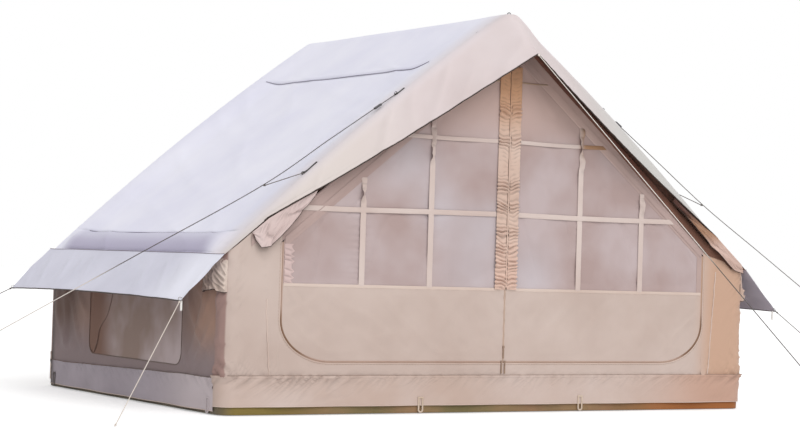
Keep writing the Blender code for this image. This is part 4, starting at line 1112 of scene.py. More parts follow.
def make_awning(word, side, seed):
    """A side awning that hangs from the eave, with its folds, a welt in its hem and a seam at its root."""
    t, u = np.meshgrid(np.linspace(0, 1, 20), np.linspace(-1, 1, 150), indexing="ij")
    droop = AWNING_SAG * (1 - u * u) * np.sin(pi / 2 * t)
    x = side * (AWNING_ROOT + (AWNING_EDGE - AWNING_ROOT) * t)
    smooth = np.stack([x, HALF_DEPTH * u, EAVE_HEIGHT - AWNING_DROP * t + droop], axis=2)
    along = HALF_DEPTH * u
    corner = HALF_DEPTH - abs(along)
    fan = np.arctan2(1.02 - t * 0.3, corner + 0.03)
    amount = 0.003 * np.sin(14 * fan + seed) * np.exp(-corner / 0.22) * ramp(corner, 0.0, 0.03)
    amount += 0.006 * rumple(along, t, 0.2, 0.9, seed) * ramp(t, 0.0, 0.4)
    amount += 0.005 * creases(along + 0.2 * t, t, 0.16, 1.5, seed + 1) * ramp(t, 0, 0.3)
    amount *= 1 - 0.75 * ramp(t, 0.7, 1.0)
    amount += 0.0012 * pucker(t * 0.3, along, 0.05, 0.03, seed + 2) * ramp(t, 0, 0.05)
    outward = (side * SIN, 0, COS)
    solid = f"{word}_awning"
    how = dict(back=awning_lining, replaces=[solid], held="hung", rests_on=[f"{word}_fly"])
    grid = sew(f"{solid}_cloth", smooth, amount, outward, awning_polyester, **how)
    tube(f"{solid}_hem_welt", grid[-1], 0.003, dark_piping)
    root = grid[0] + np.array([0, 0, 0.0012])
    tube(f"{solid}_root_seam", root, 0.0016, piping, sides=6)


piping = woven("piping_cord", "strap_tape", "8E8290", "7C717C", 0.7, TAPE_THREAD)
both_sides(make_awning, 41.1, 47.7)

# %% [markdown]
# ## The walls' plan
#
# Seen from above, the front and rear walls are straight between the posts and go round a post at each end. A
# wall is worked out in its unrolled width: s runs along the cloth, and the plan turns it into a place.

# %% Wall plan and heights
WALL_FOOT = 0.06
SKIRT_TOP = 0.177
POST_WRAP = INSET * pi / 2
WALL_END = POST_X + POST_WRAP
DOOR_HALF, DOOR_FOOT = 1.21, 0.239
DOOR_CORNER_ACROSS, DOOR_CORNER_UP = 0.26, 0.19
DOOR_TOP_INSET = 2 * ARCH_RADIUS + 3 * SKIN
DOOR_PEAK_HALF = 0.03
ZIP_WIDTH = 0.01
FRONT_LOOP = 0.46
SILL = 0.59


def plan(s, grow=0.0):
    """The place along X and Y of the front wall's cloth at an unrolled width, moved outwards by grow."""
    s = np.asarray(s, float)
    turn = np.clip((abs(s) - POST_X) / INSET, 0, pi / 2)
    radius = INSET + grow
    x = np.sign(s) * (np.minimum(abs(s), POST_X) + radius * np.sin(turn))
    return x, -(ARCH_Y + radius * np.cos(turn))


def gable_top(x, level, eave_inset):
    """The top edge of an end wall: inset from the fly along the slope, and less so at the eaves."""
    a, b = HEM_END - EAVE_CREASE / 2, HEM_END + EAVE_CREASE / 2
    high, low = roof_line(a, level), roof_line(b, eave_inset)
    share = np.clip((abs(x) - a) / (b - a), 0, 1)
    outer = np.where(abs(x) > b, roof_line(x, eave_inset), high + (low - high) * share)
    return np.where(abs(x) < a, roof_line(x, level), outer)


def door_low(x, grow=0.0):
    """Height of the doorway's foot over x, grown outwards: level, with an elliptical corner."""
    straight = DOOR_HALF - DOOR_CORNER_ACROSS
    share = np.clip((abs(x) - straight) / (DOOR_CORNER_ACROSS + grow), 0, 1)
    return DOOR_FOOT + DOOR_CORNER_UP - (DOOR_CORNER_UP + grow) * np.sqrt(1 - share**2)


def door_high(x, inward=DOOR_TOP_INSET):
    """Height of the doorway's sloping top over x."""
    return roof_line(np.maximum(abs(x), DOOR_PEAK_HALF), inward)


# %% Columns of cloth up to a slope


def columns_grid(s, low, high, rows, place):
    """A grid whose columns stand at s and run from low to high; place turns s and z into points."""
    z = low + (high - low) * steps(rows)
    S = np.broadcast_to(s, z.shape)
    return place(S, z), S, z


def front_place(s, z, grow=0.0):
    """Points on the front wall at its unrolled width and height, moved outwards by grow."""
    x, y = plan(s, grow)
    return np.stack([x, y, z + 0 * x], axis=-1)


print("front wall's unrolled width:", round(2 * WALL_END, 2))

# %% [markdown]
# ## The front wall
#
# The front wall is cut as five panels: one round each post, a low one under the door and one along each
# slope. Its cloth is pulled tight between the posts, so it has only soft folds, and short puckers at seams.

# %% Front wall
FRONT_LEVEL = ARCH_RADIUS + SKIN
FRONT_EAVE = SKIN + SEAT + CLOTH / 2
DOOR_GAP = ZIP_WIDTH / 2 + SEAT
HINGE_GAP = 0.002
RAIL_Z, RAIL_WIDTH = 0.936, 0.024


def front_top(x):
    """The height of the front wall's top edge at a place across it."""
    return gable_top(x, FRONT_LEVEL, FRONT_EAVE)


def door_reach(z):
    """How far from the middle the doorway's sloping top lies at a height."""
    return (APEX - DOOR_TOP_INSET / COS - z) / math.tan(SLOPE)


def soft_folds(u, v, seed, size=0.004):
    """The slack of a heavy cloth that is pulled nearly tight: slow swells, and a few creases on a slant."""
    slow = rumple(u, v, 0.4, 0.3, seed)
    slanted = creases(u + v, v - u, 0.5, 0.18, seed + 1)
    return size * (slow + 0.7 * slanted)


def post_seam(z):
    """How far from the middle the seam beside the post lies, at a height: it leans a little."""
    return 1.262 + 0.07 * (z - 0.18)


def make_post_panel(word, side, seed):
    """The wall from the doorway round the post, with a seam and bunched folds beside the post."""
    across = (np.linspace(DOOR_HALF + DOOR_GAP, POST_X, 26), np.linspace(POST_X, WALL_END, 14)[1:])
    s = side * np.concatenate(across)
    x, _ = plan(s)
    smooth, S, Z = columns_grid(s, 0 * s + WALL_FOOT, front_top(x), 56, front_place)
    out = abs(S)
    beside = ramp(out, 1.38, 1.46)
    amount = soft_folds(S, Z, seed, 0.002) * ramp(out - DOOR_HALF, 0, 0.06)
    amount += 0.002 * pucker(out - post_seam(Z), Z, 0.045, 0.014, seed + 2)
    amount += (0.008 + 0.008 * ramp(out, 1.34, 1.44)) * seam_folds(S, Z - SKIRT_TOP, 1.0, seed + 3)
    amount += 0.008 * creases(S - Z, Z + S, 0.05, 0.12, seed + 4) * beside * ramp(Z, 0.38, 0.5)
    amount += 0.010 * creases(S + Z, Z - S, 0.06, 0.12, seed + 6) * beside * ramp(Z, 0.45, 0.25)
    amount = np.maximum(amount, -0.001) * ramp(Z, SKIRT_TOP - 0.012, SKIRT_TOP)
    how = dict(rests_on=["front_arch"], replaces=["front_wall"] if side < 0 else [])
    sew(f"{word}_post_panel", smooth, amount, FORWARD, wall_cloth, **how)
    z = np.linspace(0.18, 0.52 if side < 0 else 0.7, 90)
    waves = 0.004 * waver(z, 0.04, seed + 5)
    lines = []
    for offset in (-0.003, 0.003):
        px, py = plan(side * (post_seam(z) + offset + waves), 0.0014)
        lines.append(np.stack([px, py, z], axis=1))
    ribbon(f"{word}_post_seam", *lines, FORWARD, binding_tape, crown=0.0022)


# %% Foot panel, gable bands and gable strips


def make_foot_panel():
    """The low wall under the doorway, cut to the doorway's round lower corners."""
    reach = DOOR_HALF + DOOR_GAP
    ends = reach - 0.268 * (1 - np.cos(np.linspace(0, pi / 2, 16)))
    s = np.concatenate([-ends, np.linspace(-0.9, 0.9, 100), ends[::-1]])
    smooth, S, Z = columns_grid(s, 0 * s + WALL_FOOT, door_low(s, DOOR_GAP), 20, front_place)
    above = ramp(Z, SKIRT_TOP - 0.01, SKIRT_TOP)
    amount = 0.002 * rumple(S, Z, 0.3, 0.15, 3.3) + 0.004 * seam_folds(S, Z - SKIRT_TOP, 1.0, 5.5) * above
    held = ramp(door_low(S, DOOR_GAP) - Z, 0.012, 0.045) * ramp(reach - abs(S), 0, 0.06)
    sew("door_foot_panel", smooth, amount * held, FORWARD, wall_cloth, rests_on=["groundsheet"])


def make_gable_band(word, side, seed):
    """The wall between a leaf's slope and the fly, and the tape that the leaf turns on."""
    across = (np.linspace(DOOR_HALF + DOOR_GAP, 0.06, 90), np.linspace(0.05, SEAT / 2, 8))
    s = side * np.concatenate(across)
    low = door_high(s, DOOR_TOP_INSET - HINGE_GAP)
    smooth, S, Z = columns_grid(s, low, front_top(s), 8, front_place)
    amount = 0.0015 * rumple(S, Z, 0.2, 0.1, seed) * ramp(abs(S), 0, 0.1)
    sew(f"{word}_gable_band", smooth, amount, FORWARD, net_border, rests_on=["front_arch"])
    s = side * np.linspace(DOOR_HALF - 0.01, 0.05, 60)
    heights = [door_high(s, DOOR_TOP_INSET + inset) for inset in (-0.008, 0.016)]
    tape = [front_place(s, z, 0.0022) for z in heights]
    ribbon(f"{word}_hinge_tape", *tape, FORWARD, net_border, thick=0.0005, crown=0)


def make_rail_end(word, side):
    """The last stretch of the lower rail, sewn to the wall above the leaf's hinge."""
    edges = []
    for z in (RAIL_Z - RAIL_WIDTH / 2, RAIL_Z + RAIL_WIDTH / 2):
        s = side * (door_reach(z) + np.linspace(0.003, 0.1, 20))
        edges.append(front_place(s, z, 0.0036))
    ribbon(f"{word}_rail_end", *edges, FORWARD, strap_tape, crown=0.001)


def make_gable_strip(word, side):
    """A strip along the wall's top edge, wider towards the eave: painted shade on the right, net border's
    colour on the left.
    """
    s = side * np.linspace(0.08, 1.40 if side > 0 else 1.37, 90)
    top = front_top(s) - 0.001
    widths = (0.03, 0.035, 0.036, 0.062, 0.075) if side > 0 else (0.012, 0.012, 0.012, 0.02, 0.06)
    low = top - np.interp(abs(s), (0.08, 0.3, 0.55, 1.2, 1.36), widths)
    edges = [front_place(s, z, 0.004) for z in (top, low)]
    ribbon(f"{word}_gable_strip", *edges, FORWARD, net_border if side < 0 else painted_shade_cloth, crown=0.002)


# %% Gussets


def corner_place(side, s, z, out):
    """A place on the walls: s runs along the front, round the post and on along the side."""
    x, y = plan(side * np.minimum(s, WALL_END), out)
    past = np.maximum(s - WALL_END, 0)
    return np.stack([x, y + past, z + 0 * x], axis=-1)


GUSSET_TOP, GUSSET_FOOT = 0.695, 0.55


def make_gusset(word, side, seed):
    """The slack cloth that bunches up between the post, the eave and the awning."""
    s = np.linspace(POST_X + 0.045, WALL_END + 0.14, 80)
    r = steps(40)
    low = GUSSET_FOOT + 0.015 * waver(s, 0.05, seed)
    z = GUSSET_TOP + (low - GUSSET_TOP) * r
    S = np.broadcast_to(s, z.shape)
    edge = ramp(s - s[0], 0, 0.008) * ramp(s[-1] - s, 0, 0.05)
    folds = creases(S - 0.8 * z, z + 0.5 * S, 0.03, 0.09, seed + 1) + 0.5 * rumple(S, z, 0.03, 0.03, seed + 2)
    out = 0.003 + (0.012 + 0.016 * folds) * np.sin(pi / 2 * r) * edge
    grid = corner_place(side, S, z, np.maximum(out, 0.002))
    panel(f"{word}_post_gusset", grid, (side, -1, 0), gusset_cloth, back=lining)
    tube(f"{word}_gusset_welt", grid[-1], 0.0016, dark_piping, sides=6)


gusset_cloth = woven("gusset_cloth", "wall_cloth", "DAC9BE", "BFA596", 0.8)

for word, side, seed in (("left", -1, 51.3), ("right", 1, 57.9)):
    make_post_panel(word, side, seed)
    make_gable_band(word, side, seed + 2)
    make_gable_strip(word, side)
    make_gusset(word, side, seed + 3)
make_rail_end("left", -1)
make_foot_panel()

# %% [markdown]
# ## Side and rear walls
#
# Each of these walls has a window with round corners. The wall is one grid, with a row of places that follows
# the window's foot and one that follows its top. The faces between them are left out. A tape binds the edge.

# %% Walls with a window
SIDE_WINDOW = dict(middle=-0.07, half=0.535, foot=0.2, height=0.39)
REAR_WINDOW = dict(middle=0.0, half=0.6, foot=0.72, height=0.5)
WINDOW_CORNER = 0.06
SIDE_END = ARCH_Y - SEAT


def window_ring(middle, half, foot, height, grow):
    """Points round a window, grown outwards: straight edges with a quarter turn at each corner."""
    turn_steps, edge_steps = 10, 24
    across = half + grow - WINDOW_CORNER
    low, high = foot - grow + WINDOW_CORNER, foot + height + grow - WINDOW_CORNER
    corners = ((across, high), (-across, high), (-across, low), (across, low))

    def turned_point(corner, angle):
        u, v = corner
        return middle + u + WINDOW_CORNER * math.cos(angle), v + WINDOW_CORNER * math.sin(angle)

    points = []
    for turn, corner in enumerate(corners):
        angles = np.linspace(turn, turn + 1, turn_steps) * pi / 2
        points += [turned_point(corner, angle) for angle in angles]
        start = np.array(points[-1])
        end = np.array(turned_point(corners[(turn + 1) % 4], (turn + 1) * pi / 2))
        points += [tuple(start + (end - start) * k / edge_steps) for k in range(1, edge_steps)]
    return np.array(points)


# %% Cloth round a window


def window_columns(middle, half, end):
    """Places across a wall, closer together at the window's round corners."""
    turn = WINDOW_CORNER * (1 - np.cos(np.linspace(0, pi / 2, 9)))
    low, high = middle - half, middle + half
    parts = (
        np.linspace(-end, low, 22)[:-1],
        low + turn,
        np.linspace(low + WINDOW_CORNER, high - WINDOW_CORNER, 60)[1:-1],
        (high - turn)[::-1],
        np.linspace(high, end, 22)[1:],
    )
    return np.concatenate(parts)


def rounding(inside):
    """How much of a window's height its round corner takes, at a distance inside its end."""
    return WINDOW_CORNER * (1 - np.sqrt(1 - np.clip(1 - inside / WINDOW_CORNER, 0, 1) ** 2))


def pierced(u, low, high, window, rows):
    """Heights of a wall's grid at its columns u, and which of its faces stay round the window."""
    inside = window["half"] - abs(u - window["middle"])
    shrink = rounding(inside)
    room = high - low
    foot = window["foot"] + shrink
    hole_low = np.where(inside < 0, np.minimum(foot, low + 0.5 * room), foot)
    hole_high = window["foot"] + window["height"] - shrink
    hole_high = np.where(inside < 0, np.minimum(hole_high, low + 0.8 * room), hole_high)
    blocks = []
    for (a, b), count in zip(((low, hole_low), (hole_low, hole_high), (hole_high, high)), rows):
        share = steps(count)
        blocks.append((a + (b - a) * share)[1 if blocks else 0 :])
    z = np.concatenate(blocks)
    middle_u = (u[:-1] + u[1:]) / 2
    keep = np.ones((len(z) - 1, len(u) - 1), bool)
    within = abs(middle_u - window["middle"]) < window["half"]
    keep[rows[0] - 1 : rows[0] + rows[1] - 2, within] = False
    return z, keep


def window_distance(u, z, window):
    """How far a place on the wall lies from the window's opening."""
    du = np.maximum(abs(u - window["middle"]) - window["half"], 0)
    dz = np.maximum(abs(z - window["foot"] - window["height"] / 2) - window["height"] / 2, 0)
    return np.hypot(du, dz)


# %% Side and rear walls


def make_side_wall(word, side, seed):
    """A side wall with its window: slack cloth with slanting creases, calm along its edges."""
    y = window_columns(SIDE_WINDOW["middle"], SIDE_WINDOW["half"], SIDE_END)
    top = roof_line(HALF, SKIN)
    z, keep = pierced(y, 0 * y + WALL_FOOT, 0 * y + top, SIDE_WINDOW, (14, 28, 12))
    Y = np.broadcast_to(y, z.shape)
    smooth = np.stack([np.full(z.shape, side * HALF), Y, z], axis=2)
    near = window_distance(Y, z, SIDE_WINDOW)
    calm = ramp(near, 0, 0.08) * ramp(SIDE_END - abs(Y), 0, 0.08) * ramp(top - z, 0, 0.06)
    calm = calm * ramp(z, SKIRT_TOP + 0.005, SKIRT_TOP + 0.06)
    amount = 0.012 * rumple(Y, z, 0.2, 0.3, seed) * calm
    amount += 0.014 * creases(Y + 0.5 * z, z, 0.14, 0.5, seed + 1) * calm
    amount += 0.01 * creases(Y - 0.8 * z, z + 0.4 * Y, 0.12, 0.4, seed + 3) * calm
    amount += 0.003 * pucker(near, Y + z, 0.06, 0.04, seed + 2) * ramp(near, 0, 0.01) * ramp(z, 0.18, 0.2)
    how = dict(replaces=[f"{word}_wall"], keep=keep, rests_on=["front_arch", "rear_arch"])
    sew(f"{word}_wall_cloth", smooth, np.clip(amount, -0.002, 0.02), (side, 0, 0), shaded_side_cloth, **how)


def make_rear_wall(seed):
    """The rear wall with its window, round both posts and up under the fly's lap."""
    s = window_columns(REAR_WINDOW["middle"], REAR_WINDOW["half"], POST_X)
    wrap = np.linspace(POST_X, WALL_END, 12)[1:]
    s = np.concatenate([-wrap[::-1], s, wrap])
    x, _ = plan(s)
    inset = ARCH_RADIUS + SKIN + REAR_LAP / 2
    z, keep = pierced(s, 0 * s + WALL_FOOT, roof_line(x, inset), REAR_WINDOW, (30, 24, 14))
    S = np.broadcast_to(s, z.shape)
    X, Y = plan(S)
    smooth = np.stack([X, -Y, z], axis=2)
    near = window_distance(S, z, REAR_WINDOW)
    amount = soft_folds(S, z, seed, 0.004) * ramp(near, 0, 0.08) * ramp(POST_X - abs(S), -0.02, 0.1)
    amount += 0.0018 * pucker(near, S, 0.05, 0.03, seed + 2) * ramp(near, 0, 0.01)
    how = dict(replaces=["rear_wall"], keep=keep, rests_on=["rear_arch"])
    sew("rear_wall_cloth", smooth, np.clip(amount, -0.001, 0.01), (0, 1, 0), wall_cloth, **how)


both_sides(make_side_wall, 61.7, 67.3)
make_rear_wall(71.9)

# %% [markdown]
# ## Windows
#
# Each window is net, sewn in level with the wall and bound with tape. Behind it hangs a flap of wall cloth
# that zips up from inside. It rides on its own body, because it folds down on its foot. On a side wall a cord
# in the flap's edge shows through the net as a pale curve.

# %% Windows
NET_THICK = 0.0008
FLAP_LAP = 0.015


def across_wall(word):
    """For a wall's name: where its outer face lies, the way it looks, and a function that places points."""
    if word == "rear":
        return HALF_DEPTH, (0, 1, 0), lambda u, z, out: np.stack([u, out + 0 * u, z], axis=-1)
    side = -1 if word == "left" else 1
    return side * HALF, (side, 0, 0), lambda u, z, out: np.stack([out + 0 * u, u, z], axis=-1)


def filled_window(window, grow, rows, columns):
    """A grid that fills a window: columns across it, each from its foot to its top."""
    half = window["half"] + grow
    turn = WINDOW_CORNER * (1 - np.cos(np.linspace(0, pi / 2, 8)))
    inner = np.linspace(WINDOW_CORNER, 2 * half - WINDOW_CORNER, columns)[1:-1]
    u = np.concatenate([turn, inner, (2 * half - turn)[::-1]]) - half
    shrink = rounding(half - abs(u))
    low = window["foot"] - grow + shrink
    high = window["foot"] + window["height"] + grow - shrink
    t = steps(rows)
    return np.broadcast_to(window["middle"] + u, (rows, len(u))), low + (high - low) * t


# %% One window


def make_window(word, window, seed):
    """A window's net, the flap behind it and the tape that binds its edge."""
    face, outward, place = across_wall(word)
    sign = 1 if face > 0 else -1
    U, Z = filled_window(window, -SEAT, 24, 50)
    smooth = place(U, Z, face - sign * (CLOTH - NET_THICK) / 2)
    to_side = window["half"] - abs(U - window["middle"])
    to_end = window["height"] / 2 - abs(Z - window["foot"] - window["height"] / 2)
    amount = 0.002 * rumple(U, Z, 0.25, 0.2, seed) + 0.004 * creases(U + 0.4 * Z, Z, 0.12, 0.4, seed)
    amount = amount * ramp(np.minimum(to_side, to_end), 0, 0.05)
    how = dict(thick=NET_THICK, replaces=[f"{word}_window_mesh"])
    sew(f"{word}_window_netting", smooth, amount, outward, window_net, **how)
    U, Z = filled_window(window, FLAP_LAP, 26, 50)
    smooth = place(U, Z, face - sign * SKIN)
    amount = -0.0016 * abs(rumple(U, Z, 0.3, 0.22, seed + 1)) * ramp(Z - window["foot"], 0.0, 0.08)
    flap_cloth = wall_cloth if word == "rear" else shaded_side_cloth
    how = dict(body=f"{word}_flap", replaces=[f"{word}_window_flap"])
    sew(f"{word}_window_flap_cloth", smooth, amount, outward, flap_cloth, **how)
    rings = []
    for grow in (-0.001, 0.0035):
        rings.append(place(*window_ring(**window, grow=grow).T, face + sign * 0.0012))
    ribbon(f"{word}_window_binding", *rings, outward, window_binding, thick=0.001, closed=True)


FLAP_Y = (0.17, 0.19, 0.21, 0.25, 0.33, 0.36, 0.40)
FLAP_Z = (0.585, 0.5, 0.45, 0.39, 0.33, 0.26, 0.205)


def make_flap_edge(word):
    """The cord in the edge of a side window's flap, which shows through the net."""
    face, _, place = across_wall(word)
    u, z = np.array(through([(0, *bend) for bend in zip(FLAP_Y, FLAP_Z)], 70)).T[1:]
    line = place(u, z, face + math.copysign(0.0025, face))
    tube(f"{word}_flap_edge", line, 0.0022, window_binding)


make_window("left", SIDE_WINDOW, 73.1)
make_flap_edge("left")
make_window("right", SIDE_WINDOW, 77.7)
make_flap_edge("right")
make_window("rear", REAR_WINDOW, 79.3)

# %% [markdown]
# ## Door leaves
#
# Each leaf is cloth below the sill and net above it, in a frame of tape. The cloth hangs from its seams with
# soft slanting folds. The net is so light that it puckers wherever something is sewn to it.

# %% Door shapes
BORDER = 0.03
LEAF_GAP = ZIP_WIDTH / 2 + SEAT
LEAF_SIDE = DOOR_HALF - LEAF_GAP


def door_place(side, x, z, out=0.0):
    """Points on a leaf: x from the middle, z up, and out in front of its face."""
    x, z = np.broadcast_arrays(np.asarray(x, float), np.asarray(z, float))
    return np.stack([side * x, FRONT - out + 0 * x, z], axis=-1)


def corner_columns(start, end, count):
    """Places across a leaf from start to end, closer together over the round lower corner."""
    turn = end - (DOOR_CORNER_ACROSS - LEAF_GAP) * (1 - np.cos(np.linspace(pi / 2, 0, 20)))
    return np.concatenate([np.linspace(start, turn[0], count)[:-1], turn])


# %% Leaf cloth


def make_leaf_cloth(word, side, seed):
    """The cloth below a leaf's sill, with soft slanting folds, and the tape along the sill."""
    x = corner_columns(LEAF_GAP, LEAF_SIDE, 60)
    smooth, X, Z = columns_grid(x, door_low(x, -LEAF_GAP), SILL, 34, lambda a, b: door_place(side, a, b))
    from_low = Z - door_low(X, -LEAF_GAP)
    edge = np.minimum(np.minimum(X - LEAF_GAP, LEAF_SIDE - X), np.minimum(from_low, SILL - Z))
    calm = ramp(edge, 0, 0.05)
    amount = 0.004 * rumple(X, Z, 0.35, 0.2, seed) * calm
    amount += 0.0035 * creases(X + 0.9 * Z, Z - 0.8 * X, 0.6, 0.16, seed + 1) * calm
    amount += 0.003 * creases(X - 0.7 * Z, Z + 0.7 * X, 0.5, 0.22, seed + 2) * calm
    amount += 0.0022 * pucker(X - LEAF_GAP, Z, 0.07, 0.02, seed + 3)
    amount += 0.0012 * pucker(SILL - Z, X, 0.05, 0.015, seed + 4)
    amount += 0.0012 * pucker(from_low, X, 0.06, 0.02, seed + 5) * ramp(edge, 0.008, 0.02)
    grid = swollen(smooth, amount, FORWARD)
    solid = f"{word}_door_panel"
    piece = panel(f"{word}_door_cloth", grid, FORWARD, wall_cloth, f"{word}_door", replaces=[solid])
    sill = np.linspace(LEAF_GAP + 0.002, LEAF_SIDE - 0.002, 80)
    lower = door_place(side, sill, SILL - 0.012 + 0 * sill, 0.0012)
    upper = door_place(side, sill, SILL + 0.003 + 0 * sill, 0.0012)
    band = ribbon(f"{word}_sill_tape", lower, upper, FORWARD, binding_tape, f"{word}_door")
    cut_note(piece, smooth)


# %% Leaf net


def leaf_frame(inset):
    """The line round a leaf above the sill, inset from its edge: up, down the slope, down the side."""
    inner, outer = LEAF_GAP + inset, LEAF_SIDE - inset
    tops = [(x, float(door_high(x, DOOR_TOP_INSET + inset))) for x in (inner, outer)]
    corners = [(inner, SILL), *tops, (outer, SILL)]
    line = []
    for (a, b), count in zip(zip(corners, corners[1:]), (60, 80, 16)):
        share = steps(count)
        line.append(np.array(a) + (np.array(b) - np.array(a)) * share)
    return np.concatenate(line)


def make_leaf_net(word, side, seed):
    """The net above a leaf's sill, puckered where something is sewn to it, and the tape round it."""
    inset = BORDER + SEAT
    x = np.linspace(LEAF_GAP + inset, LEAF_SIDE - inset, 110)
    high = door_high(x, DOOR_TOP_INSET + inset)
    Z = SILL + SEAT + (high - SILL - SEAT) * steps(80)
    X = np.broadcast_to(x, Z.shape)
    smooth = door_place(side, X, Z, -(CLOTH - NET_THICK) / 2)
    to_slope = door_high(X, DOOR_TOP_INSET + inset) - Z
    edge = np.minimum(np.minimum(X - x[0], x[-1] - X), np.minimum(Z - SILL, to_slope))
    amount = 0.003 * rumple(X, Z, 0.3, 0.3, seed)
    amount -= 0.005 * creases(X + 0.25 * Z, Z, 0.14, 0.4, seed + 1)
    amount -= 0.004 * creases(to_slope - 0.3 * X, X, 0.12, 0.25, seed + 2) * ramp(to_slope, 0.25, 0.0)
    for upright in (INNER_UPRIGHT, OUTER_UPRIGHT):
        amount -= 0.004 * abs(pucker(abs(X - upright) - 0.015, Z, 0.06, 0.04, seed + upright))
    grid = swollen(smooth, amount * ramp(edge, 0, 0.04), FORWARD)
    how = dict(thick=NET_THICK, replaces=[f"{word}_door_mesh"])
    net = panel(f"{word}_door_netting", grid, FORWARD, door_net, f"{word}_door", **how)
    edges = [door_place(side, *line.T) for line in (leaf_frame(0), leaf_frame(BORDER))]
    how = dict(body=f"{word}_door", thick=0.0016, crown=0)
    band = ribbon(f"{word}_net_binding", *edges, FORWARD, net_border, **how)
    cut_note(net, smooth)


# %% [markdown]
# ## Straps on the net
#
# Flat tapes cross the net, sewn to it in places. Above the rails the uprights are loose: they twist into
# narrow bands, because they are tied round the door when it is rolled up.

# %% Straps
UPRIGHT_WIDTH = 0.03
OUTER_UPRIGHT, INNER_UPRIGHT = 0.81, 0.43
LOWER_RAIL, UPPER_RAIL, TOP_LINE = 0.945, 1.295, 1.583
STRAP_MARGIN, RAIL_MARGIN, STRAP_OUT, STRAP_THICK = 0.012, 0.003, 0.0015, 0.0009
GATHER_WIDTH, GATHER_TOP = 0.058, 1.655
STRAP_START = LEAF_GAP + GATHER_WIDTH + 0.001


def slope_reach(z):
    """How far from the middle a rail may run at a height: its end is cut along the leaf's slope."""
    inward = DOOR_TOP_INSET + RAIL_MARGIN
    return np.minimum(DOOR_HALF - STRAP_MARGIN, (APEX - inward / COS - z) / math.tan(SLOPE))


def make_upright(word, side, x, twist_from, seed):
    """A strap that lies flat up to a height and twists above it."""
    top = float(roof_line(x + UPRIGHT_WIDTH / 2, DOOR_TOP_INSET + STRAP_MARGIN))
    z = np.linspace(SILL - 0.002, top, 150)
    loose = ramp(z, twist_from, twist_from + 0.05) * ramp(top - z, 0, 0.04)
    turn = loose * (0.8 * np.sin((z - twist_from) / 0.045 * pi / 2) + 0.5 * waver(z, 0.03, seed))
    width = UPRIGHT_WIDTH * (1 - 0.3 * loose * (0.6 + 0.4 * np.cos((z - twist_from) / 0.06 * pi)))
    sway = 0.004 * loose * waver(z, 0.08, seed + 2)
    shares = np.linspace(-0.5, 0.5, 7)[:, None]
    X = x + sway + shares * width * np.cos(turn)
    out = STRAP_OUT + 0.5 * width * abs(np.sin(turn)) + shares * width * np.sin(turn)
    out = out + 0.0012 * np.cos(pi * shares) + 0.0012 * waver(z, 0.05, seed + 4)
    grid = door_place(side, X, np.broadcast_to(z, X.shape), out)
    name = f"{word}_strap_upright_{seed:.0f}"
    return panel(name, grid, FORWARD, strap_tape, f"{word}_door", thick=STRAP_THICK)


def make_rail(word, side, z, width, look, seed):
    """A strap across the leaf that sags a little; the left leaf's lower one leans down outwards."""
    x = np.linspace(STRAP_START, slope_reach(z), 100)
    shares = np.linspace(-0.5, 0.5, 6)[:, None]
    along = (x - x[0]) / (x[-1] - x[0])
    lean = 0.009 * ramp(x, 0.4, 1.0) if side < 0 and z == LOWER_RAIL else 0 * x
    sag = 0.003 * np.sin(pi * along) + 0.002 * waver(x, 0.15, seed) * (1 - along)
    Z = z - lean - sag + shares * width
    X = x[0] + (slope_reach(z - lean[-1] + shares * width) - x[0]) * along
    out = 0.0026 + 0.001 * np.cos(pi * shares) + 0.0008 * waver(x, 0.06, seed + 1)
    grid = door_place(side, X, Z, out)
    name = f"{word}_strap_rail_{seed:.0f}"
    panel(name, grid, FORWARD, look, f"{word}_door", thick=STRAP_THICK)


# %% Gathers and ruching
GATHER_CLUSTERS = (0.63, 0.71, 0.78, 0.86, 0.98, 1.08, 1.3, 1.44)
CLUSTER_REACH = 0.03
GATHER_PITCH = 0.0195


def make_gathers(word, side, seed):
    """The strip beside the zip, drawn up in clusters of creases."""
    z = np.linspace(SILL - 0.004, GATHER_TOP, 340)
    u = steps(15)
    Z = np.broadcast_to(z, (15, len(z)))
    slant = Z - 0.012 * u + 0.008 * rumple(Z, u * np.ones_like(Z), 0.08, 0.6, seed)
    heaps = [np.exp(-(((z - middle) / CLUSTER_REACH) ** 2)) for middle in GATHER_CLUSTERS]
    cluster = 0.05 + 0.95 * np.max(heaps, axis=0)
    phase = slant / GATHER_PITCH + rumple(slant, u + 0 * slant, 0.06, 1.6, seed + 2)
    fold = 1 - abs(np.cos(pi * phase)) ** 2.5
    crown = np.sin(pi * np.clip(u * 0.96 + 0.04, 0, 1)) ** 0.5
    edge_wave = 0.009 * u**3 * (fold - 0.6) * cluster
    uneven = 1 + 0.6 * rumple(slant, u + 0 * slant, 0.03, 1.5, seed + 4)
    out = SKIN + 0.0015 + 0.002 * crown + 0.017 * uneven * fold * cluster * (0.25 + 0.75 * crown)
    out = out + 0.003 * rumple(Z, u * np.ones_like(Z), 0.05, 0.5, seed + 3)
    x = LEAF_GAP + u * GATHER_WIDTH + edge_wave
    grid = door_place(side, np.broadcast_to(x, Z.shape), Z, out)
    solid = f"{word}_door_gathers"
    how = dict(body=f"{word}_door", thick=0.001, replaces=[solid])
    panel(f"{solid}_cloth", grid, FORWARD, gather_cloth, **how)


# %% Ruching
RUCHE_TOP = 0.77


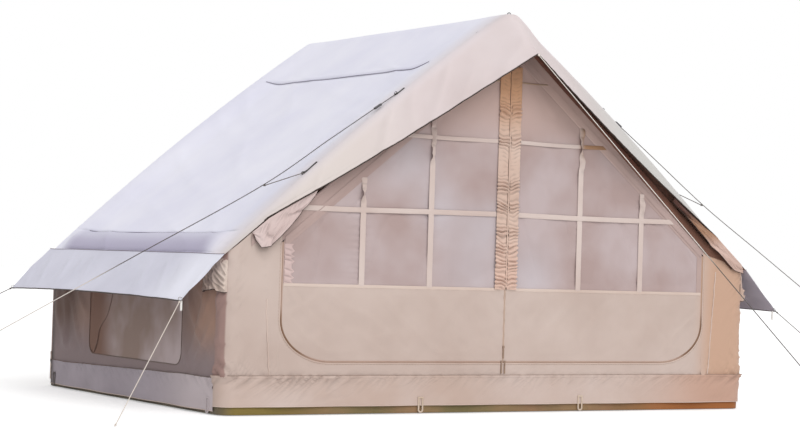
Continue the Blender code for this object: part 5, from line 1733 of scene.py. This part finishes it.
def make_side_ruching(word, side, seed):
    """The net's outer edge, drawn up in short soft pleats on its elastic."""
    z = np.linspace(SILL + 0.004, RUCHE_TOP, 120)
    u = steps(14)
    Z = np.broadcast_to(z, (14, len(z)))
    fold = abs(np.sin(pi * (Z / 0.03 + 0.35 * u + 0.8 * waver(Z, 0.06, seed))))
    fade = (1 - u) ** 0.8 * ramp(RUCHE_TOP - Z, 0, 0.05) * ramp(Z - SILL, 0, 0.01)
    x = LEAF_SIDE - 0.004 - u * (0.052 - 0.014 * fold * u)
    grid = door_place(side, x + 0 * Z, Z, 0.0006 + 0.008 * fold * fade * (0.3 + np.sin(pi * u)))
    panel(f"{word}_net_ruching", grid, FORWARD, ruched_net, f"{word}_door", thick=STRAP_THICK)


for word, side, seed in (("left", -1, 83.0), ("right", 1, 89.0)):
    make_leaf_cloth(word, side, seed)
    make_leaf_net(word, side, seed + 0.5)
    first = make_upright(word, side, INNER_UPRIGHT, 1.16, seed + 1)
    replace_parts(first, f"{word}_door_straps")
    make_upright(word, side, OUTER_UPRIGHT - 0.006 + 0.006 * side, 0.965, seed + 2)
    make_rail(word, side, LOWER_RAIL, RAIL_WIDTH, strap_tape, seed + 3)
    make_rail(word, side, UPPER_RAIL, RAIL_WIDTH * 0.8, strap_tape, seed + 4)
    make_rail(word, side, TOP_LINE, 0.007, thread, seed + 5)
    make_gathers(word, side, seed + 6)
    if side < 0:
        make_side_ruching(word, side, seed + 7)

# %% [markdown]
# ## Zips
#
# A zip is a woven tape with a nylon coil down its middle. The long one round the doorway is bound with a
# light piping, which is what the eye sees first. The sliders are the frame's own.

# %% Zips
ZIP_PROUD = 0.0004
COIL_RADIUS = 0.0016


def door_path(grow):
    """The doorway's edge from its top left, down, across its foot and up again, grown outwards."""
    across, up = DOOR_CORNER_ACROSS + grow, DOOR_CORNER_UP + grow
    straight = DOOR_HALF - DOOR_CORNER_ACROSS
    foot = [(x, DOOR_FOOT - grow) for x in np.linspace(0, straight, 60)[:-1]]
    turns = np.linspace(-pi / 2, 0, 30)
    middle = DOOR_FOOT + DOOR_CORNER_UP
    corner = [(straight + across * math.cos(t), middle + up * math.sin(t)) for t in turns]
    high = float(roof_line(DOOR_HALF + ZIP_WIDTH / 2, DOOR_TOP_INSET))
    side = [(DOOR_HALF + grow, z) for z in np.linspace(corner[-1][1], high, 20)[1:]]
    right = np.array(foot + corner + side)
    left = right[:0:-1] * np.array([-1, 1])
    return np.concatenate([left, right])


def round_door(grow, out=0.0):
    """The doorway's edge, grown outwards, as points in front of the wall's face."""
    return door_place(1, *door_path(grow).T, out)


# Painted shadow: the zip is darker over the doorway's round lower corners.
ZIP_CORNER_SHADOW = ("86664F", ("Z", 0.25, 0.29), ("Z", 0.5, 0.42))
ZIP_FADES = (ZIP_CORNER_SHADOW, ("C2A18B", ("X", 0.8, 1.0), ("Z", 0.45, 0.6)))
COIL = dict(pitch=2 * MILLIMETRE, depth=0.6 * MILLIMETRE, IOR=1.53)
PALE_COIL = dict(pitch=1.5 * MILLIMETRE, depth=0.3 * MILLIMETRE, IOR=1.5)
zip_tape = woven("zip_tape", "zip_coil", "C8AC9C", "B6988A", 0.75, TAPE_THREAD, fades=ZIP_FADES)
zip_coil = ribbed("nylon_zip_coil", "zip_coil", "A88C7C", 0.5, fades=ZIP_FADES, **COIL)
pale_tape = woven("pale_zip_tape", "zip_coil", "CDB6A8", "BFA595", 0.75, TAPE_THREAD)
pale_coil = ribbed("pale_zip_coil", "zip_coil", "BEA38F", 0.45, **PALE_COIL)

# %% Centre zip and its placket
centre = np.linspace(DOOR_FOOT + LEAF_GAP, float(door_high(0)) - 0.004, 200)
edges = [door_place(1, x + 0 * centre, centre) for x in (-ZIP_WIDTH / 2, ZIP_WIDTH / 2)]
how = dict(thick=0.001, crown=0, replaces=["centre_zip"])
ribbon("centre_zip_tape", *edges, FORWARD, pale_tape, "left_door", **how)
line = door_place(1, 0 * centre, centre, ZIP_PROUD)
tube("centre_zip_coil", line, COIL_RADIUS, pale_coil, "left_door", flat_ends=True)
high = centre[centre > SILL]
edges = [door_place(1, x + 0 * high, high, 0.0085) for x in (-0.0038, 0.0038)]
ribbon("centre_zip_placket", *edges, FORWARD, gather_cloth, "left_door", thick=0.0012, crown=0.0015)

# %% Zip round the doorway
edges = [round_door(grow) for grow in (ZIP_WIDTH / 2, -ZIP_WIDTH / 2)]
how = dict(thick=0.001, crown=0, replaces=["door_edge_zip"])
ribbon("door_edge_zip_tape", *edges, FORWARD, zip_tape, **how)
tube("door_edge_zip_coil", round_door(0, ZIP_PROUD), COIL_RADIUS, zip_coil, flat_ends=True)
tube("door_edge_piping", round_door(ZIP_WIDTH / 2 + 0.002, 0.0008), 0.0022, binding_tape, flat_ends=True)
stitches("door_edge_stitches", round_door(ZIP_WIDTH / 2 + 0.0075, 0.0006), FORWARD, thread)
print("zip round the doorway in metres:", round(float(run_of(round_door(0))[-1]), 2))

# %% [markdown]
# ## Skirts
#
# A skirt of cloth is sewn on over the foot of each wall to shed the rain. It stands out in slow folds, and
# its top seam is puckered, because the skirt is a little longer than the wall that it is sewn to.

# %% Skirts
SKIRT_FOOT, SKIRT_FLARE = 0.038, 0.006
SIDE_SKIRT_FOOT, SIDE_SKIRT_TOP = 0.016, 0.166
SKIRT_FOLD = 0.021


def skirt_flare(along, end):
    """How far a skirt's foot stands out, along it: slow waves that die down at its ends."""
    fold = 1 - np.cos(2 * pi * along / FRONT_LOOP)
    return SKIRT_FLARE * fold * ramp(end - abs(along), 0, FRONT_LOOP / 2)


def skirt_folds(along, height, seed):
    """Puckers below the top seam, and a little slack at the foot."""
    from_top = SKIRT_TOP - height
    slack = 0.4 + 1.3 * bump(along, -1.1, 0.3) + 0.7 * ramp(abs(along), 1.3, 1.5)
    amount = SKIRT_FOLD * slack * seam_folds(along, from_top, 1.2, seed)
    amount += 0.006 * rumple(along, height, 0.22, 0.2, seed + 1) * bump(from_top, 0.06, 0.06)
    return np.clip(amount, -0.0008, SKIRT_FOLD)


def hang_skirt(word, smooth, amount, outward, look, wall):
    """A skirt's cloth, sewn to its wall, with a welt along its foot; gives the folded grid."""
    solid = f"{word}_skirt"
    how = dict(held="hung", rests_on=[wall], replaces=[solid])
    grid = sew(f"{solid}_cloth", smooth, amount, outward, look, **how)
    tube(f"{solid}_foot_welt", grid[0], 0.0018, binding_tape)
    return grid


# %% Skirts on the four walls


def make_long_skirt(word, sign, seed, wall):
    """The front or the rear skirt, round both posts, with a tape along its seam and a dark cord of painted
    shade.
    """
    s = np.linspace(-WALL_END, WALL_END, 260)
    t = steps(24)
    Z = SKIRT_FOOT + (SKIRT_TOP - SKIRT_FOOT) * t + 0 * s
    S = np.broadcast_to(s, Z.shape)
    x, y = plan(S, SKIN)
    y = y - skirt_flare(x, POST_X) * (1 - t)
    smooth = np.stack([x, -sign * y, Z], axis=2)
    calm = ramp(WALL_END - abs(S), 0, 0.25) if sign > 0 else 1
    outward = (0, sign, 0)
    grid = hang_skirt(word, smooth, skirt_folds(S, Z, seed) * calm, outward, skirt_cloth, wall)
    seam = swollen(grid, 0.0006, outward)
    ribbon(f"{word}_skirt_seam_tape", seam[-3], seam[-1], outward, skirt_cloth, crown=0.0004)
    # The dark cord along the seam is painted shade: the shadow line under the seam.
    tube(f"{word}_skirt_seam_cord", grid[-1], 0.0012, seam_shade, sides=6)


def make_side_skirt(word, side, seed):
    """A side skirt, whose top seam runs a little downhill to the rear."""
    y = np.linspace(-SIDE_END, SIDE_END, 180)
    t = steps(24)
    top = SIDE_SKIRT_TOP - 0.028 * ramp(y, -SIDE_END, SIDE_END) + 0.004 * waver(y, 0.25, seed + 4)
    Z = SIDE_SKIRT_FOOT + (top - SIDE_SKIRT_FOOT) * t
    Y = np.broadcast_to(y, Z.shape)
    x = HALF + SKIN + skirt_flare(Y, SIDE_END) * (1 - t)
    smooth = np.stack([side * x, Y, Z], axis=2)
    amount = skirt_folds(Y, Z + SKIRT_TOP - top, seed)
    grid = hang_skirt(word, smooth, amount, (side, 0, 0), side_skirt_cloth, f"{word}_wall_cloth")
    tube(f"{word}_skirt_seam_cord", grid[-1], 0.0016, window_binding)


make_long_skirt("front", -1, 91.1, "door_foot_panel")
make_long_skirt("rear", 1, 93.7, "rear_wall_cloth")
both_sides(make_side_skirt, 95.3, 97.9)

# %% [markdown]
# ## Groundsheet
#
# The groundsheet is one piece of coated oxford cloth. Its edge is turned up into a low tub, so its corners
# are rounded and the tub's wall waves a little. It is one grid of rings, from the tub's rim to the middle.

# %% Groundsheet
TUB_HEIGHT = 0.1
TUB_LEVELS = (TUB_HEIGHT, 0.085, 0.065, 0.045, 0.025, 0.012, 0.005)
TUB_EDGE, TUB_FLOOR = 0.0015, 0.0012
FLOOR_RINGS = (0.995, 0.97, 0.9, 0.8, 0.7, 0.6, 0.5, 0.4, 0.3, 0.2, 0.1, 0.0)


def tub_ring(set_in, scale=1.0):
    """A ring in the shape of the walls' plan, set in from it and scaled towards the middle."""
    s = np.linspace(-WALL_END, WALL_END, 120)
    x, y = plan(s, -set_in)
    ring = np.concatenate([np.stack([x, y], axis=1), np.stack([x[::-1], -y[::-1]], axis=1)])
    return ring * scale


def make_groundsheet(seed):
    """The floor and its turned-up edge in one cloth, as rings from the rim in to the middle."""
    rings = []
    ring = tub_ring(SKIN)
    around = np.arange(len(ring)) / len(ring) * 16
    for z in TUB_LEVELS:
        wave = 0.0012 * rumple(around, 0 * around + z * 8, 0.5, 1, seed)
        rings.append(np.column_stack([ring * (1 - abs(wave)[:, None]), np.full(len(ring), z)]))
    rings.append(np.column_stack([tub_ring(SKIN + 0.0015), np.full(len(ring), TUB_EDGE)]))
    for scale in FLOOR_RINGS:
        ring = tub_ring(SKIN, scale * 0.998)
        waves = abs(rumple(ring[:, 0], ring[:, 1], 0.4, 0.4, seed)) * (scale < 0.95)
        rings.append(np.column_stack([ring, TUB_FLOOR + 0.002 * waves]))
    middle = np.array([[0, 0, 0.5]])
    how = dict(replaces=["groundsheet"], closed=True)
    piece = panel("groundsheet_cloth", np.array(rings), middle, groundsheet_oxford, **how)


make_groundsheet(99.5)

# %% [markdown]
# ## Peg loops
#
# A peg loop is a short webbing strap, folded double and sewn under the skirt, that a peg goes through.

# %% Peg loops
LOOP_WIDTH, LOOP_HEIGHT, LOOP_WEB, LOOP_LIFT = 0.03, 0.075, 0.0085, 0.002
SKIRT_STATION = FRONT_LOOP / 6


def loop_ring(grow):
    """The outline of a peg loop, grown outwards: a half circle at its foot and a square top."""
    half, foot, top = LOOP_WIDTH / 2 + grow, LOOP_LIFT + LOOP_WIDTH / 2, LOOP_LIFT + LOOP_HEIGHT + grow
    turns = np.linspace(pi, 2 * pi, 17)
    line = [(half * math.cos(t), foot + half * math.sin(t)) for t in turns]
    for a, b in (((half, foot), (half, top)), ((half, top), (-half, top)), ((-half, top), (-half, foot))):
        line += [tuple(np.array(a) + (np.array(b) - np.array(a)) * k / 8) for k in range(1, 9)]
    return np.array(line[:-1])


def make_peg_loop(name, word, middle, face, side):
    """A peg loop that lies on a wall's skirt: rings of webbing from its edge to its hole."""
    end = POST_X if word == "front" else ARCH_Y
    edges = (middle - SKIRT_STATION / 2, middle + SKIRT_STATION / 2)
    near = SKIN + SEAT + max(float(skirt_flare(edge, end)) for edge in edges)
    out = near + 0.003
    rings = []
    for grow in np.linspace(0, -LOOP_WEB, 5):
        ring = loop_ring(grow)
        u, z = middle + ring[:, 0], ring[:, 1]
        lift = out - 0.0008 * (1 - math.sin(pi * -grow / LOOP_WEB))
        place = face + side * lift + 0 * u
        rings.append(np.stack([u, place, z] if word == "front" else [place, u, z], axis=1))
    outward = (0, side, 0) if word == "front" else (side, 0, 0)
    look = loop_webbing if word == "front" else side_webbing
    panel(name + "_webbing", np.array(rings), outward, look, thick=0.0024, replaces=[name], closed=True)


LOOP_BACK = ARCH_Y - 0.05
for name, word, middle, face, side in (
    ("front_left_peg_loop", "front", -FRONT_LOOP, -HALF_DEPTH, -1),
    ("front_right_peg_loop", "front", FRONT_LOOP, -HALF_DEPTH, -1),
    ("left_front_corner_loop", "side", -LOOP_BACK, -HALF, -1),
    ("left_rear_corner_loop", "side", LOOP_BACK, -HALF, -1),
    ("right_front_corner_loop", "side", -LOOP_BACK, HALF, 1),
    ("right_rear_corner_loop", "side", LOOP_BACK, HALF, 1),
):
    make_peg_loop(name, word, middle, face, side)

# %% [markdown]
# ## Air arches and beams
#
# Each is a film tube inside a sewn sleeve, blown up hard. It is round wherever it runs straight, and the
# sleeve puckers on the inside of each bend, where there is too much cloth. The arch follows the fly's own
# line, one beam radius below it.

# %% Air frame
EAVE_BEND, RIDGE_BEND = 0.12, 0.05
ARCH_DEPTH = ARCH_RADIUS + SKIN + SEAT
RIPPLE_PITCH = 0.03


def crest_point(x):
    """The arch's crest in the end view, over x."""
    return np.array([x, float(roof_line(x)) + float(bow(x)) / COS])


def below_crest(x):
    """A point below the arch's crest line at x, and the way the line runs there."""
    step = 0.0015
    way = crest_point(x - step) - crest_point(x + step)
    way /= norm(way)
    return crest_point(x) - np.array([way[1], -way[0]]) * ARCH_DEPTH, way


def bend_points(before, corner, after, count):
    """A curve that leaves one line and joins another, drawn towards the corner between them."""
    t = steps(count)
    return before * (1 - t) ** 2 + corner * 2 * t * (1 - t) + after * t**2


def arch_line(y):
    """The middle of an arch: up a post, round the eave, up the rafter, over the ridge and down again."""
    eave_x, ridge_x = HALF - EAVE_BEND * COS, RIDGE_BEND * COS + ARCH_DEPTH * SIN
    rafter = [below_crest(x) for x in np.linspace(eave_x, ridge_x, 60)]
    low, low_way = rafter[0]
    corner = low - low_way * ((POST_X - low[0]) / -low_way[0])
    high, high_way = rafter[-1]
    peak = high + high_way * (high[0] / -high_way[0])
    post_top = corner - np.array([0, EAVE_BEND])
    foot = np.array([POST_X, CLOTH + SEAT + 0.002])
    post = foot + (post_top - foot) * steps(24)
    eave = bend_points(post_top, corner, low, 20)
    crown = bend_points(high, peak, high * np.array([-1, 1]), 17)[:9]
    half = np.concatenate([post, eave[1:], [p for p, _ in rafter[1:-1]], crown])
    other = half[:-1][::-1] * np.array([-1, 1])
    line = np.concatenate([half, other])
    return np.column_stack([line[:, 0], np.full(len(line), y), line[:, 1]])


# %% Beams


def make_beam(name, line, radius, puckers=True):
    """An air beam in its sleeve: a tube whose radius ripples a little where the line bends."""
    along = run_of(line)
    count = int(along[-1] / 0.012)
    even = np.linspace(0, along[-1], count)
    line = np.stack([np.interp(even, along, line[:, k]) for k in range(3)], axis=1)
    ways = np.gradient(line, axis=0)
    ways /= norm(ways, axis=1, keepdims=True)
    turning = norm(np.gradient(ways, axis=0), axis=1)
    turning = np.convolve(turning, np.ones(9) / 9, mode="same") if puckers else 0 * turning
    bent = np.minimum(1, turning / 0.02)
    ripple = np.sin(2 * pi * even / RIPPLE_PITCH) * bent
    radii = (radius - 0.0012) * (1 - 0.012 * (1 + ripple) * bent)
    ends = np.minimum(even, along[-1] - even)
    radii *= 1 - 0.1 * np.exp(-ends / 0.02)
    beam = tube(name + "_sleeve", line, radii, shaded_sleeve_cloth, sides=32, flat_ends=True)
    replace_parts(beam, name)


for name, y in (("front_air_arch", -ARCH_Y), ("rear_air_arch", ARCH_Y)):
    make_beam(name, arch_line(y), ARCH_RADIUS)
eave_beam_x = HALF - 2 * SKIN - EAVE_BEAM_RADIUS
eave_beam_z = float(roof_line(eave_beam_x, EAVE_BEAM_RADIUS + SKIN))
beam_ends = ARCH_Y - 0.035
for name, x, z, radius in (
    ("ridge_air_beam", 0, float(roof_line(0, RIDGE_ROUND)), RIDGE_BEAM_RADIUS),
    ("left_eave_air_beam", -eave_beam_x, eave_beam_z, EAVE_BEAM_RADIUS),
    ("right_eave_air_beam", eave_beam_x, eave_beam_z, EAVE_BEAM_RADIUS),
):
    make_beam(name, np.array([(x, -beam_ends, z), (x, beam_ends, z)], float), radius, puckers=False)

# %% [markdown]
# ## Where the canopy ends
#
# Towards the eaves the canopy has more cloth than its arch needs. The spare cloth hangs below the hem in a
# pleated cheek, which closes the gap beside the post.

# %% Canopy cheeks


def make_cheek(word, side, seed):
    """The canopy's lower end, drawn in and folded where it meets the post."""
    c = np.linspace(0, 1, 80)
    r = steps(40)
    if side < 0:
        ends, low_x, low_z = (1.06, 1.372), (1.072, 1.283, 1.335, 1.37), (0.99, 0.76, 0.752, 0.81)
    else:
        ends, low_x, low_z = (0.98, 1.462), (0.985, 1.24, 1.41, 1.47), (1.05, 0.84, 0.715, 0.70)
    top_x = np.interp(c, (0, 1), ends)
    top_y, top_z = hem(top_x)
    low_x, low_z = (np.interp(c, (0, 0.55, 0.85, 1), low) for low in (low_x, low_z))
    low_y = np.interp(c, (0, 1), (-1.05, -1.032))
    share = r**0.9
    x = top_x + (low_x - top_x) * share
    hem_y = np.minimum(top_y + 0.003, -1.03)
    y = hem_y + (low_y - hem_y) * share
    z = top_z - 0.004 + (low_z - top_z) * share
    along = c * 0.33
    wander = 0.5 * rumple(along + 0 * r, r + 0 * c, 0.1, 0.5, seed)
    pleat = abs(np.sin(pi * (along / 0.13 + 0.7 * r + wander)))
    deep = ramp(r, 0.05, 0.5) * ramp(c, 0, 0.15)
    size = 0.65 if side < 0 else 0.45
    y = y - 0.026 * size * pleat * deep
    y = y - 0.006 * size * creases(along - 0.1 * r, r * 0.2 + 0 * c, 0.04, 0.15, seed + 1) * ramp(r, 0, 0.2)
    grid = np.stack([side * x, y, z], axis=2)
    front = cheek_polyester if side < 0 else cheek_shade
    piece = panel(f"{word}_canopy_cheek", grid, FORWARD, front, back=lining)
    tube(f"{word}_cheek_welt", grid[-1], 0.0015, dark_piping, sides=6)
    cut_note(piece, grid)


both_sides(make_cheek, 101.3, 107.9)

# %% [markdown]
# ## Attachment points
#
# Each rope starts at a short webbing tab that is sewn into the seam over the front arch, and the awning's
# corners carry a metal ring. These small dark marks are among the first things that the eye finds on a pale
# tent. A white toggle hangs below each awning's front corner.

# %% Tabs, toggles and rings
TAB_WIDTH = 0.014
WIRE = 0.0014
CREST_Y = -0.9534


def make_tab(name, x, length):
    """A webbing tab that lies along the front arch's crest and stands up at its free end."""
    side = 1 if x > 0 else -1
    t = np.linspace(-0.5, 0.5, 16)
    xs = abs(x) + t * length
    free = ramp(t, 0.1, 0.5)
    zs = roof_top(xs) + bow(xs) / COS + 0.0035 + 0.006 * free
    rows = []
    for share in np.linspace(-0.5, 0.5, 5):
        ys = -ARCH_Y + share * TAB_WIDTH + 0 * xs
        rows.append(np.stack([side * xs, ys, zs + 0.001 * math.cos(pi * share)], axis=1))
    panel(name, np.array(rows), (side * SIN, 0, COS), dark_webbing, thick=0.0022)


def make_ring(name, place, normal, radius, wire, look):
    """A closed ring of wire."""
    _, side, other = square_to(normal)
    turns = np.linspace(0, 2 * pi, 29)
    path = [tuple(Vector(place) + (side * math.cos(t) + other * math.sin(t)) * radius) for t in turns]
    tube(name, path, wire, look, flat_ends=True)


CORNER_HEIGHT = EAVE_HEIGHT - AWNING_DROP
for word, side in (("left", -1), ("right", 1)):
    for level, x, length in (("upper", 0.585, 0.05), ("lower", 1.05, 0.07)):
        make_tab(f"{word}_{level}_tab", side * x, length)
    for level, x, radius in (("upper", 0.603, 0.008), ("lower", 1.085, 0.007)):
        place = (side * x, CREST_Y, float(roof_top(x) + bow(x) / COS) + 0.008)
        make_ring(f"{word}_{level}_ring", place, (0, 1, 0.2), radius, WIRE, moulded_nylon)
    end = (side * (AWNING_EDGE - 0.012), -HALF_DEPTH + 0.012)
    toggle = [(*end, CORNER_HEIGHT - drop) for drop in (0.004, 0.04)]
    tube(f"{word}_awning_toggle", toggle, 0.005, white_nylon, sides=12)
    for where, way in (("front", -1), ("rear", 1)) if side < 0 else [("front", -1)]:
        corner = (side * (AWNING_EDGE - 0.004), way * (HALF_DEPTH - 0.006), CORNER_HEIGHT + 0.008)
        make_ring(f"{word}_{where}_awning_ring", corner, (side * 0.3, way, 0.6), 0.009, WIRE, cast_zinc)
peak = (0.0, -0.985, float(roof_top(0.0)) - 0.002)
make_ring("ridge_ring", peak, (1, 0.3, 0), 0.011, 0.0022, moulded_nylon)

# %% [markdown]
# ## The frame's own parts
#
# The sliders, the valve and the runners keep the frame's solids and get their real finish.

# %% Finishes for the frame's parts
FINISHES = {
    "centre_zip_slider": bronzed_zinc,
    "left_edge_slider": bronzed_zinc,
    "right_edge_slider": bronzed_zinc,
    "air_valve": moulded_nylon,
    "valve_cap": moulded_nylon,
    "left_guy_runner": moulded_nylon,
    "right_guy_runner": moulded_nylon,
}
for name, look in FINISHES.items():
    for slot in nodes[name].material_slots:
        slot.material = look
replaced = {name for piece in bpy.data.objects for name in piece.get("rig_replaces", [])}
print("nodes still plain:", sorted(set(nodes) - replaced - set(FINISHES)))

# %% [markdown]
# ## Light and floor
#
# The tent stands in a white studio. The sky is even and soft, and one very wide lamp, high in front, makes
# the front brighter than the shaded side wall, whose cloth also carries painted shade. The floor is white to
# the camera and still takes the shadow.

# %% Light and floor
SKY_LIGHT = 0.55
LAMP_LIGHT = 1.55
LAMP_FROM = Vector((-0.1, -1.0, 0.8))
LAMP_WIDTH = math.radians(55)
WHITE = (1, 1, 1, 1)
FLOOR_REACH, FLOOR_LEVEL, FLOOR_GLOW = 60, -0.002, 0.35

scene = bpy.context.scene
scene.view_settings.view_transform = "Standard"
world = bpy.data.worlds.new("white_studio")
scene.world = world
world.use_nodes = True
tree = world.node_tree
tree.nodes.clear()
ray = add(tree, "LightPath")
either = {0: ray.outputs["Is Camera Ray"], 1: ray.outputs["Is Glossy Ray"]}
glossy = add(tree, "Math", links=either, operation="MAXIMUM")
either = {0: glossy.outputs["Value"], 1: ray.outputs["Is Transmission Ray"]}
seen = add(tree, "Math", links=either, operation="MAXIMUM")
sky = add(tree, "Background", {"Color": WHITE, "Strength": SKY_LIGHT})
white = add(tree, "Background", {"Color": WHITE, "Strength": 1.0})
shares = {0: seen.outputs["Value"], 1: sky.outputs["Background"], 2: white.outputs["Background"]}
both = add(tree, "MixShader", links=shares)
add(tree, "OutputWorld", links={"Surface": both.outputs["Shader"]})

lamp = bpy.data.lights.new("wide_lamp", "SUN")
lamp.energy = LAMP_LIGHT
lamp.angle = LAMP_WIDTH
lamp_thing = bpy.data.objects.new("wide_lamp", lamp)
lamp_thing.rotation_euler = LAMP_FROM.to_track_quat("Z", "Y").to_euler()
scene.collection.objects.link(lamp_thing)

floor_mesh = bpy.data.meshes.new("floor")
turns = ((-1, -1), (1, -1), (1, 1), (-1, 1))
corners = [(x * FLOOR_REACH, y * FLOOR_REACH, FLOOR_LEVEL) for x, y in turns]
floor_mesh.from_pydata(corners, [], [(0, 1, 2, 3)])
floor = bpy.data.objects.new("floor", floor_mesh)
scene.collection.objects.link(floor)
paper, tree, shader = start_material("white_paper", "F4F4F4", 0.9)
ray = add(tree, "LightPath")
lit, strength = {0: ray.outputs["Is Camera Ray"]}, shader.inputs["Emission Strength"]
add(tree, "Math", {1: FLOOR_GLOW}, lit, into=strength, operation="MULTIPLY")
shader.inputs["Emission Color"].default_value = WHITE
floor_mesh.materials.append(paper)
